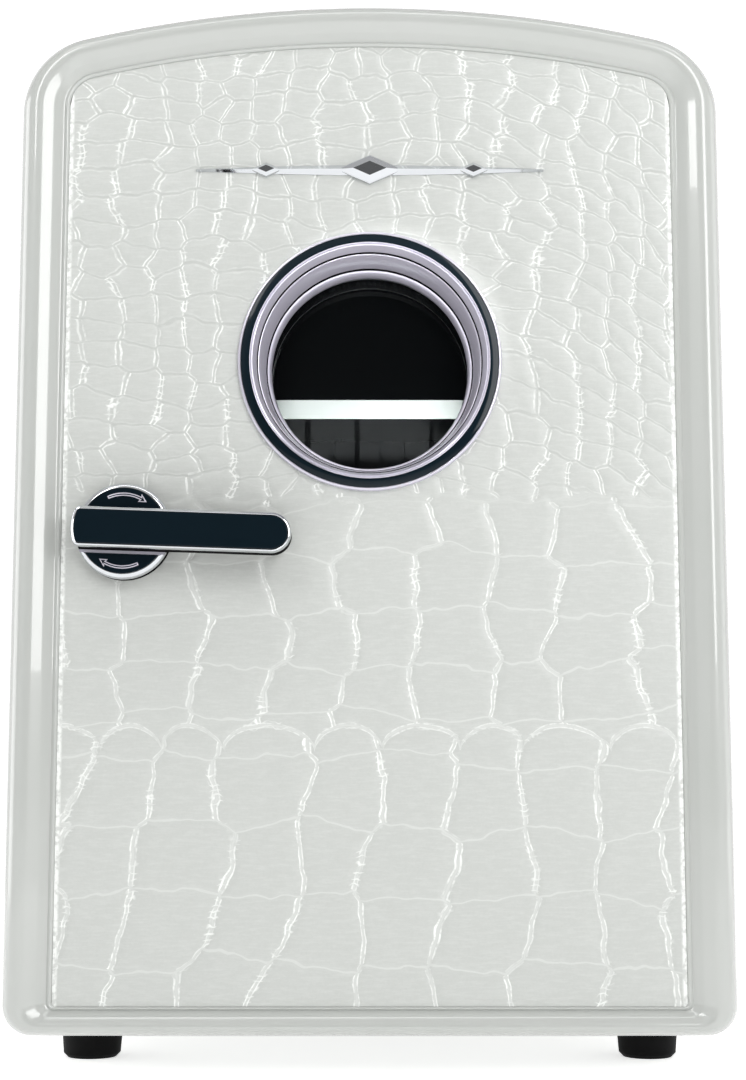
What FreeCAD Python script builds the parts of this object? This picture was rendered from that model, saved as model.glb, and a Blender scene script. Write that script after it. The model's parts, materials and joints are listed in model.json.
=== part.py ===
import FreeCAD, Part
import math
import os
import re

import Sketcher

# A small thermoelectric fridge with an arched top, a leather-clad door with a round window,
# a turning lever latch and a fold-down carry handle. Millimetres, +Z up, front towards -Y,
# origin on the floor under the middle of the whole body.

DIMENSIONS = {
    # the outline that the door, the shell and the rear cover share
    "BodyWidth": 190,
    "BodyTop": 287.4,
    "BodyBase": 11,
    "ArchRadius": 343,
    "TopCorner": 22,
    "BottomCorner": 8,
    # planes from front to back
    "LeverFront": -132.5,
    "FrameFront": -122.5,
    "PanelFront": -119.5,
    "BoardFront": -115.5,
    "FoamFront": -113,
    "SkirtFront": -110,
    "LinerFront": -90,
    "DoorBack": -84.5,
    "CabinetFront": -83,
    "ShellFront": -80,
    "BulkheadFront": 87.5,
    "BulkheadBack": 90,
    "ShellBack": 104,
    "CoverInside": 130,
    "CoverBack": 132.5,
    # the clad panel in the door frame
    "PanelWidth": 163,
    "PanelTop": 275.1,
    "PanelBase": 18.7,
    "PanelArch": 331,
    "PanelCorner": 8.5,
    "PanelFoot": 1.2,
    "FrameRound": 6.5,
    "FrameBevel": 2.9,
    "BackRound": 2.5,
    "SkirtWall": 3,
    "ShellWall": 2.5,
    # round window, on its own centre line
    "WindowHeight": 187.5,
    "BezelRadius": 35.3,
    "BezelCrest": 34.2,
    "BezelInner": 31.75,
    "BezelProud": 2.6,
    "WindowBore": 34,
    "ConeInner": 26.85,
    "ConeBack": -103.9,
    "PaneRadius": 30.5,
    "PaneThick": 2.5,
    "SealThick": 1,
    "SleeveInner": 27.5,
    "RingRadius": 38,
    "RingBack": -82.8,
    # lever latch, on its own centre line
    "LatchAcross": -64.5,
    "LatchHeight": 141,
    "DiscRadius": 12.7,
    "DiscFront": -125,
    "DiscBack": -119.8,
    "LeverReach": 37.2,
    "LeverHalf": 5.1,
    "LeverHeel": 13.3,
    "LeverChamfer": 1.4,
    "ChannelHalf": 5.2,
    "ChannelLip": 0.9,
    "DiscLip": 1.7,
    "InlayProud": 0.3,
    "SpindleRadius": 3,
    "BushRadius": 6,
    "RunningGap": 0.05,
    "CamFront": -88.9,
    "CamBack": -86.4,
    "CamScrewBack": -84.9,
    "CamNose": 9.5,
    "CamWell": 10.5,
    "CamWellFront": -89.2,
    # magnetic catch and seal
    "MagnetLow": 121,
    "MagnetHigh": 161,
    "GasketInset": 14,
    "GasketWidth": 5,
    "GasketThick": 1.2,
    # ornament bar
    "BadgeHeight": 240.1,
    "BadgeHalf": 47,
    "BadgeFront": -122.1,
    # hinges on the right-hand side
    "HingeAcross": 89.5,
    "HingeDepth": -93,
    "HingeLow": 45,
    "HingeHigh": 240,
    "PinRadius": 1.75,
    "KnuckleRadius": 4.2,
    "KnuckleHalf": 7,
    "NotchHalf": 7.4,
    "NotchLeft": 84.7,
    "NotchFront": -99.9,
    "BossLeft": 80,
    "BossHalf": 14,
    # cold box
    "CavityHalf": 67,
    "CavityBase": 41,
    "CavityTop": 249,
    "CavityBack": 50,
    "LinerWall": 2,
    "RailTop": 181.1,
    "RailDrop": 3.5,
    "RailReach": 5,
    "ShelfFront": -70,
    "ShelfBack": 34,
    "ShelfTop": 187,
    "ShelfLow": 181.4,
    "ShelfThick": 2.6,
    "ShelfGap": 0.8,
    # thermoelectric cooler
    "CoolerHeight": 150,
    "BlockHalf": 20,
    "BlockBack": 86.2,
    "ColdSinkHalf": 40,
    "ColdFinFront": 39,
    "ColdPlateFront": 47,
    "HotSinkHalf": 55,
    "HotPlateBack": 95,
    "HotFinBack": 108,
    "FinThick": 1.6,
    # fan
    "FanFront": 110,
    "FanBack": 128,
    "FanHalf": 40,
    "FanDuct": 37.8,
    "FanHubRadius": 14,
    "FanBladeTip": 36.2,
    "FanHole": 35.7,
    "FanShaft": 1.5,
    "RotorFront": 112,
    "RotorBack": 123.4,
    "MotorFront": 124,
    "GuardRadius": 38.6,
    "GuardWire": 1.6,
    # fasteners
    "ScrewShank": 1.6,
    "ScrewHead": 3.1,
    "ScrewHeadThick": 1.6,
    "CoverScrewAcross": 82,
    "CoverScrewLow": 30,
    "CoverScrewHigh": 250,
    "CoverBoss": 6,
    "SlotAcross": -46,
    "SlotWidth": 3,
    "SlotLow": 206,
    "SlotHigh": 240,
    "SlotRun": 89,
    "VentFront": 110,
    "VentBack": 122,
    "VentLow": 100,
    "VentTall": 3,
    "VentRun": 84,
    "LinerScrewAcross": 60,
    "LinerScrewLow": 30,
    "LinerScrewHigh": 262,
    # carry handle and its tray
    "TrayHalf": 64,
    "TrayFront": -30,
    "TrayBack": 24,
    "TrayBase": 262,
    "TrayWall": 2,
    "HandleHalf": 57.5,
    "HandleArm": 7,
    "HandlePivotDepth": 14,
    "HandlePivotHeight": 270.5,
    "HandleGripFront": -22,
    "HandleGripDepth": 9,
    "HandleEnd": 18,
    "HandlePinRadius": 2.2,
    # electrics in the rear cover
    "BoardHeight": 52,
    "BoardHalf": 45,
    "BoardRise": 22,
    "BoardPlane": 96,
    "BoardThick": 1.6,
    "SocketHeight": 42,
    "MainsAcross": -42,
    "CarAcross": 0,
    "SwitchAcross": 42,
    "SocketRise": 8,
    "MainsHalf": 12,
    "MainsWell": 9,
    "CarRadius": 8,
    "SwitchHalf": 11,
    "PartsDepth": 13,
    "TransformerLeft": -36,
    "TransformerRight": -12,
    "TransformerRise": 8,
    "PartsHeight": 64,
    "CapacitorRadius": 4.5,
    "CapacitorLength": 11,
    "CapacitorPitch": 12,
    "RockerHalf": 8,
    "RockerStub": 1.7,
    "RockerPin": 1.3,
    # feet
    "FootAcross": 77.6,
    "FootDepth": -71.5,
    "FootRearDepth": 92,
    "FootRadius": 8.7,
    "FootLowRadius": 7.9,
    "FootRound": 1.2,
}

doc = FreeCAD.newDocument("mini_fridge")
dims = doc.addObject("Spreadsheet::Sheet", "dims")
for row, (alias, number) in enumerate(DIMENSIONS.items(), start=1):
    dims.set(f"A{row}", str(number))
    dims.setAlias(f"A{row}", alias)
doc.recompute()

NODES = []
LEVER_DROP_DEG = 2.0
FRONT_PLANE = "XZ_Plane"
TOP_PLANE = "XY_Plane"
SIDE_PLANE = "YZ_Plane"


def ex(text):
    """An expression on the sheet, from one that names the aliases only."""
    return re.sub(r"\b([A-Z][A-Za-z]+)\b", r"dims.\1", text)


def num(text):
    """The value now of an expression on the sheet."""
    return float(dims.evalExpression(ex(text)))


def bind(target, prop, text):
    """Binds a property to the sheet."""
    target.setExpression(prop, ex(text))


def keep(label, target):
    """Marks a document object as a sub-part that is written out."""
    target.Label = label
    NODES.append((label, target))
    return target


class Drawing:
    """A sketch on one of a body's own origin planes, with each size bound to the sheet."""

    def __init__(self, body, role, offset):
        plane = next(f for f in body.Origin.OriginFeatures if f.Role == role)
        self.sketch = body.newObject("Sketcher::SketchObject", "sketch")
        self.sketch.AttachmentSupport = [(plane, "")]
        self.sketch.MapMode = "FlatFace"
        bind(self.sketch, "AttachmentOffset.Base.z", offset)

    def rule(self, kind, *refs):
        """Adds a geometric constraint."""
        self.sketch.addConstraint(Sketcher.Constraint(kind, *refs))

    def size(self, kind, refs, text):
        """Adds a dimension bound to the sheet."""
        index = self.sketch.addConstraint(Sketcher.Constraint(kind, *refs, num(text)))
        name = f"size{index}"
        self.sketch.renameConstraint(index, name)
        bind(self.sketch, "Constraints." + name, text)

    def place(self, geometry, vertex, across, up):
        """Puts a vertex at (across, up) from the sketch's origin."""
        if across == "0":
            self.rule("PointOnObject", geometry, vertex, -2)
        else:
            self.size("DistanceX", (-1, 1, geometry, vertex), across)
        if up == "0":
            self.rule("PointOnObject", geometry, vertex, -1)
        else:
            self.size("DistanceY", (-1, 1, geometry, vertex), up)

    def line(self, x0, y0, x1, y1):
        """Adds a straight segment and returns its index."""
        start = FreeCAD.Vector(x0, y0, 0)
        return self.sketch.addGeometry(Part.LineSegment(start, FreeCAD.Vector(x1, y1, 0)), False)

    def arc(self, x, y, radius, start, end):
        """Adds an arc, anticlockwise from start to end, and returns its index."""
        circle = Part.Circle(FreeCAD.Vector(x, y, 0), FreeCAD.Vector(0, 0, 1), radius)
        return self.sketch.addGeometry(Part.ArcOfCircle(circle, start, end), False)

    def polygon(self, points):
        """A closed run of straight edges through (across, up) expressions."""
        at = [(num(across), num(up)) for across, up in points]
        count = len(points)
        lines = [self.line(*at[i], *at[(i + 1) % count]) for i in range(count)]
        for i, (across, up) in enumerate(points):
            self.rule("Coincident", lines[i - 1], 2, lines[i], 1)
            self.place(lines[i], 1, across, up)
        return self

    def rectangle(self, left, low, right, high):
        """A rectangle between two corners given as expressions."""
        return self.polygon([(left, low), (right, low), (right, high), (left, high)])

    def circle(self, across, up, radius):
        """A circle given by its centre and radius."""
        centre = FreeCAD.Vector(num(across), num(up), 0)
        circle = Part.Circle(centre, FreeCAD.Vector(0, 0, 1), num(radius))
        index = self.sketch.addGeometry(circle, False)
        self.place(index, 3, across, up)
        self.size("Radius", (index,), radius)
        return self

    def arched(self, width, base, top, arch, corner, foot):
        """The upright outline with rounded corners and an arched top."""
        half = num(width) / 2
        low, high = num(base), num(top)
        big, upper, lower = num(arch), num(corner), num(foot)
        arch_z = high - big
        corner_z = arch_z + math.sqrt((big - upper) ** 2 - (half - upper) ** 2)
        lean = math.atan2(corner_z - arch_z, half - upper)
        quarter = math.pi / 2
        parts = [
            self.line(-half + lower, low, half - lower, low),
            self.arc(half - lower, low + lower, lower, -quarter, 0),
            self.line(half, low + lower, half, corner_z),
            self.arc(half - upper, corner_z, upper, 0, lean),
            self.arc(0, arch_z, big, lean, math.pi - lean),
            self.arc(-half + upper, corner_z, upper, math.pi - lean, math.pi),
            self.line(-half, corner_z, -half, low + lower),
            self.arc(-half + lower, low + lower, lower, math.pi, 3 * quarter),
        ]
        floor, foot_right, right, corner_right, crown, corner_left, left, foot_left = parts
        for before, after in zip(parts, parts[1:] + parts[:1], strict=True):
            self.rule("Tangent", before, 2, after, 1)
        self.rule("Vertical", right)
        self.rule("Vertical", left)
        self.rule("Equal", corner_right, corner_left)
        self.rule("Equal", foot_right, foot_left)
        self.rule("PointOnObject", crown, 3, -2)
        self.rule("Symmetric", floor, 1, floor, 2, -2)
        self.size("Radius", (foot_right,), foot)
        self.size("Radius", (corner_right,), corner)
        self.size("Radius", (crown,), arch)
        self.size("DistanceX", (left, 1, right, 1), width)
        self.size("DistanceY", (-1, 1, floor, 1), base)
        self.size("DistanceY", (-1, 1, crown, 3), f"({top}) - ({arch})")
        return self

    def body_outline(self, inset="0"):
        """The outline of the whole fridge, or one that much inside it."""
        return self.arched(
            f"BodyWidth - 2 * ({inset})",
            f"BodyBase + ({inset})",
            f"BodyTop - ({inset})",
            f"ArchRadius - ({inset})",
            f"TopCorner - ({inset})",
            f"max(BottomCorner - ({inset}); 1)",
        )

    def lever(self, heel, half, reach):
        """A bar with a shallow arc about the origin on the left and a half round on the right."""
        big, small, far = num(heel), num(half), num(reach)
        near = -math.sqrt(big**2 - small**2)
        lean = math.atan2(small, near)
        quarter = math.pi / 2
        low = self.line(near, -small, far, -small)
        nose = self.arc(far, 0, small, -quarter, quarter)
        high = self.line(far, small, near, small)
        back = self.arc(0, 0, big, lean, 2 * math.pi - lean)
        self.rule("Tangent", low, 2, nose, 1)
        self.rule("Tangent", nose, 2, high, 1)
        self.rule("Coincident", high, 2, back, 1)
        self.rule("Coincident", back, 2, low, 1)
        self.rule("Coincident", back, 3, -1, 1)
        self.rule("Horizontal", low)
        self.rule("PointOnObject", nose, 3, -1)
        self.size("Radius", (nose,), half)
        self.size("Radius", (back,), heel)
        self.size("DistanceX", (-1, 1, nose, 3), reach)
        return self

    def segment(self, radius, chord, side):
        """The part of a disc beyond a level chord: side is 1 above the centre, -1 below it."""
        big, up = num(radius), num(chord)
        reach = math.sqrt(big**2 - up**2)
        lean = math.atan2(up, reach)
        middle = side * math.pi / 2
        spread = math.pi / 2 - lean
        bow = self.arc(0, 0, big, middle - spread, middle + spread)
        base = self.line(-side * reach, side * up, side * reach, side * up)
        self.rule("Coincident", bow, 3, -1, 1)
        self.rule("Coincident", bow, 2, base, 1)
        self.rule("Coincident", base, 2, bow, 1)
        self.rule("Horizontal", base)
        self.size("Radius", (bow,), radius)
        self.size("DistanceY", (-1, 1, base, 1), f"{side} * ({chord})")
        return self

    def panel_outline(self):
        """The outline of the clad panel inside the door frame."""
        return self.arched(
            "PanelWidth", "PanelBase", "PanelTop", "PanelArch", "PanelCorner", "PanelFoot"
        )


class Piece:
    """One PartDesign body, built up feature by feature."""

    def __init__(self, label):
        self.body = keep(label, doc.addObject("PartDesign::Body", label))

    def draw(self, role, offset="0"):
        """A new sketch on one of the body's origin planes."""
        return Drawing(self.body, role, offset)

    def feature(self, kind, drawing, length, backwards):
        """A pad or a pocket of a drawing."""
        made = self.body.newObject(kind, kind.split("::")[1].lower())
        made.Profile = drawing.sketch
        made.Reversed = backwards
        bind(made, "Length", length)
        drawing.sketch.Visibility = False
        doc.recompute()
        return made

    def pad(self, drawing, length, backwards=True):
        """Adds material: towards +Y from a front plane, unless backwards is False."""
        return self.feature("PartDesign::Pad", drawing, length, backwards)

    def pocket(self, drawing, length, backwards=False):
        """Cuts material: towards +Y from a front plane, or down from a top plane."""
        before = self.body.Shape.Volume
        made = self.feature("PartDesign::Pocket", drawing, length, backwards)
        if self.body.Shape.Volume > before - 1e-3:
            raise ValueError(f"{self.body.Label}: a pocket cuts nothing")
        return made

    def revolve(self, drawing):
        """Turns a drawing on the top plane once about the Y axis."""
        made = self.body.newObject("PartDesign::Revolution", "revolution")
        made.Profile = drawing.sketch
        made.ReferenceAxis = (drawing.sketch, ["V_Axis"])
        made.Angle = 360
        doc.recompute()
        return made

    def round_off(self, wanted, radius):
        """Rounds the edges that a test picks."""
        return self.dress("PartDesign::Fillet", wanted, "Radius", radius)

    def bevel(self, wanted, width):
        """Chamfers the edges that a test picks."""
        return self.dress("PartDesign::Chamfer", wanted, "Size", width)

    def dress(self, kind, wanted, prop, size):
        base = self.body.Tip
        names = [f"Edge{i}" for i, edge in enumerate(base.Shape.Edges, start=1) if wanted(edge)]
        if not names:
            raise ValueError(f"{self.body.Label}: no edge to dress")
        made = self.body.newObject(kind, kind.split("::")[1].lower())
        made.Base = (base, names)
        bind(made, prop, size)
        doc.recompute()
        return made

    def repeat(self, original, axis, length, count):
        """Repeats a feature in a row along one of the body's axes."""
        row = self.body.newObject("PartDesign::LinearPattern", "row")
        row.Originals = [original]
        row.Direction = (self.axis(axis), [""])
        bind(row, "Length", length)
        row.Occurrences = count
        self.body.Tip = row
        doc.recompute()
        return row

    def spin(self, original, count):
        """Repeats a feature round the Y axis."""
        ring = self.body.newObject("PartDesign::PolarPattern", "ring")
        ring.Originals = [original]
        ring.Axis = (self.axis("Y_Axis"), [""])
        ring.Angle = 360
        ring.Occurrences = count
        self.body.Tip = ring
        doc.recompute()
        return ring

    def axis(self, role):
        """One of the body's origin axes."""
        return next(f for f in self.body.Origin.OriginFeatures if f.Role == role)

    def stand(self, across="0", deep="0", up="0", drop_deg=0.0):
        """Places the body on its own centre line, turned clockwise as seen from the front."""
        turn = FreeCAD.Rotation(FreeCAD.Vector(0, 1, 0), drop_deg)
        self.body.Placement = FreeCAD.Placement(FreeCAD.Vector(0, 0, 0), turn)
        bind(self.body, "Placement.Base.x", across)
        bind(self.body, "Placement.Base.y", deep)
        bind(self.body, "Placement.Base.z", up)
        return self


def slab(label, front, back, inset=None):
    """A plate between two planes: the body outline that far inside, or else the panel outline."""
    piece = Piece(label)
    drawing = piece.draw(FRONT_PLANE, f"-({front})")
    if inset is None:
        drawing.panel_outline()
    else:
        drawing.body_outline(inset)
    piece.pad(drawing, f"{back} - ({front})")
    return piece


def turned(label, profile, height="WindowHeight", across="0"):
    """A piece turned about its own centre line along Y, from a (radius, y) profile."""
    piece = Piece(label)
    piece.revolve(piece.draw(TOP_PLANE).polygon(profile))
    return piece.stand(across=across, up=height)


def ring(label, inner, outer, front, back, **where):
    """A plain ring or tube along Y."""
    profile = [(inner, front), (outer, front), (outer, back), (inner, back)]
    return turned(label, profile, **where)


def disc(label, radius, front, back, **where):
    """A plain disc along Y."""
    return ring(label, "0", radius, front, back, **where)


def bore(piece, radius, front, depth, across="0", up="0", backwards=False):
    """Cuts a round hole along Y."""
    drawing = piece.draw(FRONT_PLANE, f"-({front})").circle(across, up, radius)
    piece.pocket(drawing, depth, backwards)


def cut_box(piece, front, depth, left, low, right, high):
    """Cuts a rectangular hole along Y, from a front plane backwards."""
    drawing = piece.draw(FRONT_PLANE, f"-({front})").rectangle(left, low, right, high)
    piece.pocket(drawing, depth)


def block(label, left, front, low, right, back, high):
    """A plain rectangular piece between two corners."""
    made = doc.addObject("Part::Box", label)
    bind(made, "Placement.Base.x", left)
    bind(made, "Placement.Base.y", front)
    bind(made, "Placement.Base.z", low)
    bind(made, "Length", f"{right} - ({left})")
    bind(made, "Width", f"{back} - ({front})")
    bind(made, "Height", f"{high} - ({low})")
    return made


def rod(label, radius, length, at, axis, angle):
    """A cylinder from a point, turned from +Z about an axis."""
    made = doc.addObject("Part::Cylinder", label)
    made.Placement.Rotation = FreeCAD.Rotation(FreeCAD.Vector(*axis), angle)
    for letter, text in zip("xyz", at, strict=True):
        bind(made, "Placement.Base." + letter, text)
    bind(made, "Radius", radius)
    bind(made, "Height", length)
    return made


def screws(label, places, head, length, forward):
    """A group of pan-head screws along Y: each place is the middle of a head's outer face."""
    turn = 90 if forward else -90
    sign = -1 if forward else 1
    group = []
    for across, up in places:
        cap = rod("head", "ScrewHead", "ScrewHeadThick", (across, head, up), (1, 0, 0), turn)
        start = f"({head}) + {sign} * ScrewHeadThick"
        shank = rod("shank", "ScrewShank", length, (across, start, up), (1, 0, 0), turn)
        screw = doc.addObject("Part::Fuse", "screw")
        screw.Base = cap
        screw.Tool = shank
        group.append(screw)
    return grouped(label, group)


def grouped(label, members):
    """One node that holds several identical pieces as separate solids."""
    made = doc.addObject("Part::Compound", label)
    made.Links = members
    return keep(label, made)


def corners(half_wide, low, high):
    """The four corners of an upright rectangle centred on the fridge."""
    sides = (f"-({half_wide})", half_wide)
    return [(across, up) for across in sides for up in (low, high)]


def is_front_rim(edge, front, outer_half):
    """Whether an edge lies in a front plane, on the outside or the inside of a frame."""
    box = edge.BoundBox
    flat = abs(box.YMin - front) < 1e-3 and abs(box.YMax - front) < 1e-3
    return flat and outer_half(box)


def on_body_outline(box):
    """Whether an edge's box reaches the body outline."""
    half = num("BodyWidth / 2") - 0.01
    low = box.ZMin < num("BodyBase") + 0.01
    crown = box.ZMax > num("BodyTop") - 0.01
    return low or crown or box.XMax > half or box.XMin < -half


def door_frame():
    """The moulded outer frame of the door, with a hollow back and two hinge bosses."""
    piece = Piece("door_frame")
    front = num("FrameFront")
    rim = piece.draw(FRONT_PLANE, "-FrameFront").body_outline().panel_outline()
    piece.pad(rim, "SkirtFront - FrameFront")
    skirt = piece.draw(FRONT_PLANE, "-SkirtFront").body_outline().body_outline("SkirtWall")
    piece.pad(skirt, "DoorBack - SkirtFront")
    piece.round_off(lambda e: is_front_rim(e, front, on_body_outline), "FrameRound")
    piece.bevel(lambda e: is_front_rim(e, front, lambda box: not on_body_outline(box)), "FrameBevel")
    back = num("DoorBack")
    piece.round_off(lambda e: is_front_rim(e, back, on_body_outline), "BackRound")
    for height in ("HingeLow", "HingeHigh"):
        boss = piece.draw(FRONT_PLANE, "-SkirtFront")
        boss.rectangle("BossLeft", f"{height} - BossHalf", "HingeAcross + 3", f"{height} + BossHalf")
        piece.pad(boss, "DoorBack - SkirtFront - 0.5")
    for height in ("HingeLow", "HingeHigh"):
        cut_box(piece, "NotchFront", "DoorBack - NotchFront + 1",
                "NotchLeft", f"{height} - NotchHalf", "BodyWidth / 2 + 1", f"{height} + NotchHalf")
        hole = piece.draw(TOP_PLANE, f"{height} + BossHalf - 1")
        hole.circle("HingeAcross", "HingeDepth", "PinRadius")
        piece.pocket(hole, "2 * (BossHalf - 1)")


def door_cladding():
    """The leather panel, its board, the door's foam and the inner door pan."""
    leather = slab("leather_panel", "PanelFront", "BoardFront")
    board = slab("door_board", "BoardFront", "FoamFront")
    foam = slab("door_insulation", "SkirtFront", "LinerFront", "SkirtWall")
    core = foam.draw(FRONT_PLANE, "-FoamFront").panel_outline()
    foam.pad(core, "SkirtFront - FoamFront")
    pan = slab("door_liner", "LinerFront", "DoorBack", "SkirtWall")
    for piece, front in ((leather, "PanelFront"), (board, "BoardFront"),
                         (foam, "FoamFront"), (pan, "LinerFront")):
        bore(piece, "WindowBore", f"{front} - 1", "40", up="WindowHeight")
        bore(piece, "BushRadius", f"{front} - 1", "40", "LatchAcross", "LatchHeight")
    for piece, front in ((foam, "SkirtFront"), (pan, "LinerFront")):
        for height in ("HingeLow", "HingeHigh"):
            cut_box(piece, front, "40", "BossLeft", f"{height} - BossHalf",
                    "BodyWidth / 2", f"{height} + BossHalf")
    bore(pan, "CamWell", "CamWellFront", "10", "LatchAcross", "LatchHeight")
    cut_box(pan, "DoorBack - 4", "10", "-88", "MagnetLow", "-83", "MagnetHigh")
    places = corners("LinerScrewAcross", "LinerScrewLow", "LinerScrewHigh")
    for across, up in places:
        bore(pan, "ScrewShank", "LinerFront - 1", "10", across, up)
        bore(pan, "ScrewHead", "DoorBack - ScrewHeadThick", "10", across, up)
        bore(foam, "ScrewShank", "LinerFront - 15", "20", across, up)
    screws("door_liner_screws", places, "DoorBack", "18", True)
    keep("door_magnet", block("door_magnet", "-88", "DoorBack - 4", "MagnetLow",
                              "-83", "DoorBack", "MagnetHigh"))


def door_gasket():
    """The soft seal round the back of the door."""
    piece = Piece("door_gasket")
    seal = piece.draw(FRONT_PLANE, "-DoorBack")
    seal.body_outline("GasketInset").body_outline("GasketInset + GasketWidth")
    piece.pad(seal, "GasketThick")


def porthole():
    """The round window: chrome bezel, stepped funnel, two panes, seals, sleeve and inner ring."""
    turned("window_bezel", [
        ("BezelInner", "PanelFront"), ("BezelRadius", "PanelFront"),
        ("BezelRadius", "PanelFront - 0.8"), ("BezelCrest", "PanelFront - BezelProud"),
        ("BezelCrest - 0.7", "PanelFront - BezelProud"), ("BezelInner", "PanelFront - 0.6"),
    ])
    steps = 4
    funnel = [("WindowBore", "ConeBack"), ("WindowBore", "PanelFront"), ("BezelInner", "PanelFront")]
    for step in range(1, steps + 1):
        radius = f"BezelInner + (ConeInner - BezelInner) * {step} / {steps}"
        above = f"BezelInner + (ConeInner - BezelInner) * {step - 0.35} / {steps}"
        deep = f"PanelFront + (ConeBack - PanelFront) * {step - 0.12} / {steps}"
        funnel += [(above, deep), (radius, deep)]
    funnel.append(("ConeInner", "ConeBack"))
    turned("window_funnel", funnel)
    disc("outer_pane", "PaneRadius", "ConeBack", "ConeBack + PaneThick")
    ring("outer_pane_seal", "SleeveInner", "PaneRadius",
         "ConeBack + PaneThick", "ConeBack + PaneThick + SealThick")
    turned("window_sleeve", [
        ("PaneRadius", "ConeBack"), ("WindowBore", "ConeBack"), ("WindowBore", "LinerFront - SealThick"),
        ("SleeveInner", "LinerFront - SealThick"), ("SleeveInner", "ConeBack + PaneThick + SealThick"),
        ("PaneRadius", "ConeBack + PaneThick + SealThick"),
    ])
    ring("inner_pane_seal", "SleeveInner", "WindowBore", "LinerFront - SealThick", "LinerFront")
    disc("inner_pane", "WindowBore", "LinerFront", "LinerFront + PaneThick")
    turned("inner_window_ring", [
        ("SleeveInner", "LinerFront + PaneThick"), ("WindowBore", "LinerFront + PaneThick"),
        ("WindowBore", "DoorBack"), ("RingRadius", "DoorBack"),
        ("RingRadius - 0.8", "RingBack"), ("SleeveInner", "RingBack"),
    ])


def badge():
    """A plain ornament: a slim bar that tapers to both ends, with a raised lozenge in the middle."""
    piece = Piece("badge")
    bar = piece.draw(FRONT_PLANE, "-(BadgeFront + 0.8)")
    bar.polygon([("-BadgeHalf", "0"), ("-8", "-1.7"), ("8", "-1.7"),
                 ("BadgeHalf", "0"), ("8", "1.7"), ("-8", "1.7")])
    piece.pad(bar, "PanelFront - BadgeFront - 0.8")
    lozenge = piece.draw(FRONT_PLANE, "-BadgeFront")
    lozenge.polygon([("-9", "0"), ("0", "-4"), ("9", "0"), ("0", "4")])
    piece.pad(lozenge, "PanelFront - BadgeFront")
    front = num("BadgeFront")
    piece.bevel(lambda e: is_front_rim(e, front, lambda box: True), "0.7")
    piece.stand(up="BadgeHeight")


def latch():
    """The turning lever: dished disc, lever, dark inlays, spindle, cam, screw and bush."""
    ring("latch_bush", "SpindleRadius + RunningGap", "BushRadius", "PanelFront", "CamWellFront",
         height="LatchHeight", across="LatchAcross")
    seat = {"height": "LatchHeight", "across": "LatchAcross"}
    disc("latch_spindle", "SpindleRadius", "DiscBack", "CamFront", **seat)

    base = Piece("latch_disc")
    base.revolve(base.draw(TOP_PLANE).polygon([
        ("0", "DiscBack"), ("DiscRadius", "DiscBack"), ("DiscRadius", "DiscFront + 1.6"),
        ("DiscRadius - 1.3", "DiscFront"), ("0", "DiscFront"),
    ]))
    cut_box(base, "DiscFront - 1", "2", "-(DiscRadius + 1)", "-ChannelHalf",
            "DiscRadius + 1", "ChannelHalf")
    lever = Piece("latch_lever")
    grip = lever.draw(FRONT_PLANE, "-(LeverFront + InlayProud)")
    lever.pad(grip.lever("LeverHeel", "LeverHalf", "LeverReach"), "DiscFront + 1 - LeverFront - InlayProud")
    front = num("LeverFront + InlayProud")
    lever.bevel(lambda e: is_front_rim(e, front, lambda box: True), "LeverChamfer")
    inlay = Piece("lever_inlay")
    face = inlay.draw(FRONT_PLANE, "-LeverFront")
    face.lever("LeverHeel - LeverChamfer", "LeverHalf - LeverChamfer", "LeverReach")
    inlay.pad(face, "InlayProud")
    parts = [base, lever, inlay]
    plates = Piece("disc_inlays")
    plates.body.AllowCompound = True
    for side in (1, -1):
        shape = plates.draw(FRONT_PLANE, "-(DiscFront - InlayProud)")
        plates.pad(shape.segment("DiscRadius - DiscLip", "ChannelHalf + ChannelLip", side), "InlayProud")
    parts.append(plates)
    for part in parts:
        part.stand("LatchAcross", "0", "LatchHeight", LEVER_DROP_DEG)

    cam = Piece("latch_cam")
    hub = cam.draw(FRONT_PLANE, "-CamFront").circle("0", "0", "5")
    cam.pad(hub, "CamBack - CamFront")
    nose = cam.draw(FRONT_PLANE, "-CamFront")
    nose.rectangle("-3", "-CamNose", "3", "0")
    cam.pad(nose, "CamBack - CamFront")
    cam.stand("LatchAcross", "0", "LatchHeight")
    disc("latch_cam_screw", "ScrewHead", "CamBack", "CamScrewBack", **seat)


def hinges():
    """Two knuckle brackets on the cabinet and the pins that the door turns on."""
    pins = []
    for name, height in (("lower", "HingeLow"), ("upper", "HingeHigh")):
        low, high = f"{height} - KnuckleHalf", f"{height} + KnuckleHalf"
        bracket = Piece(f"hinge_bracket_{name}")
        knuckle = bracket.draw(TOP_PLANE, low).circle("HingeAcross", "HingeDepth", "KnuckleRadius")
        bracket.pad(knuckle, "2 * KnuckleHalf", False)
        arm = bracket.draw(TOP_PLANE, low)
        arm.rectangle("HingeAcross - 4", "HingeDepth", "HingeAcross + 4", "CabinetFront")
        bracket.pad(arm, "2 * KnuckleHalf", False)
        eye = bracket.draw(TOP_PLANE, high)
        eye.circle("HingeAcross", "HingeDepth", "PinRadius + RunningGap")
        bracket.pocket(eye, "2 * KnuckleHalf")
        pins.append(rod("hinge_pin", "PinRadius", "2 * (BossHalf - 1)",
                        ("HingeAcross", "HingeDepth", f"{height} - BossHalf + 1"), (0, 0, 1), 0))
    grouped("hinge_pins", pins)


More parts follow.
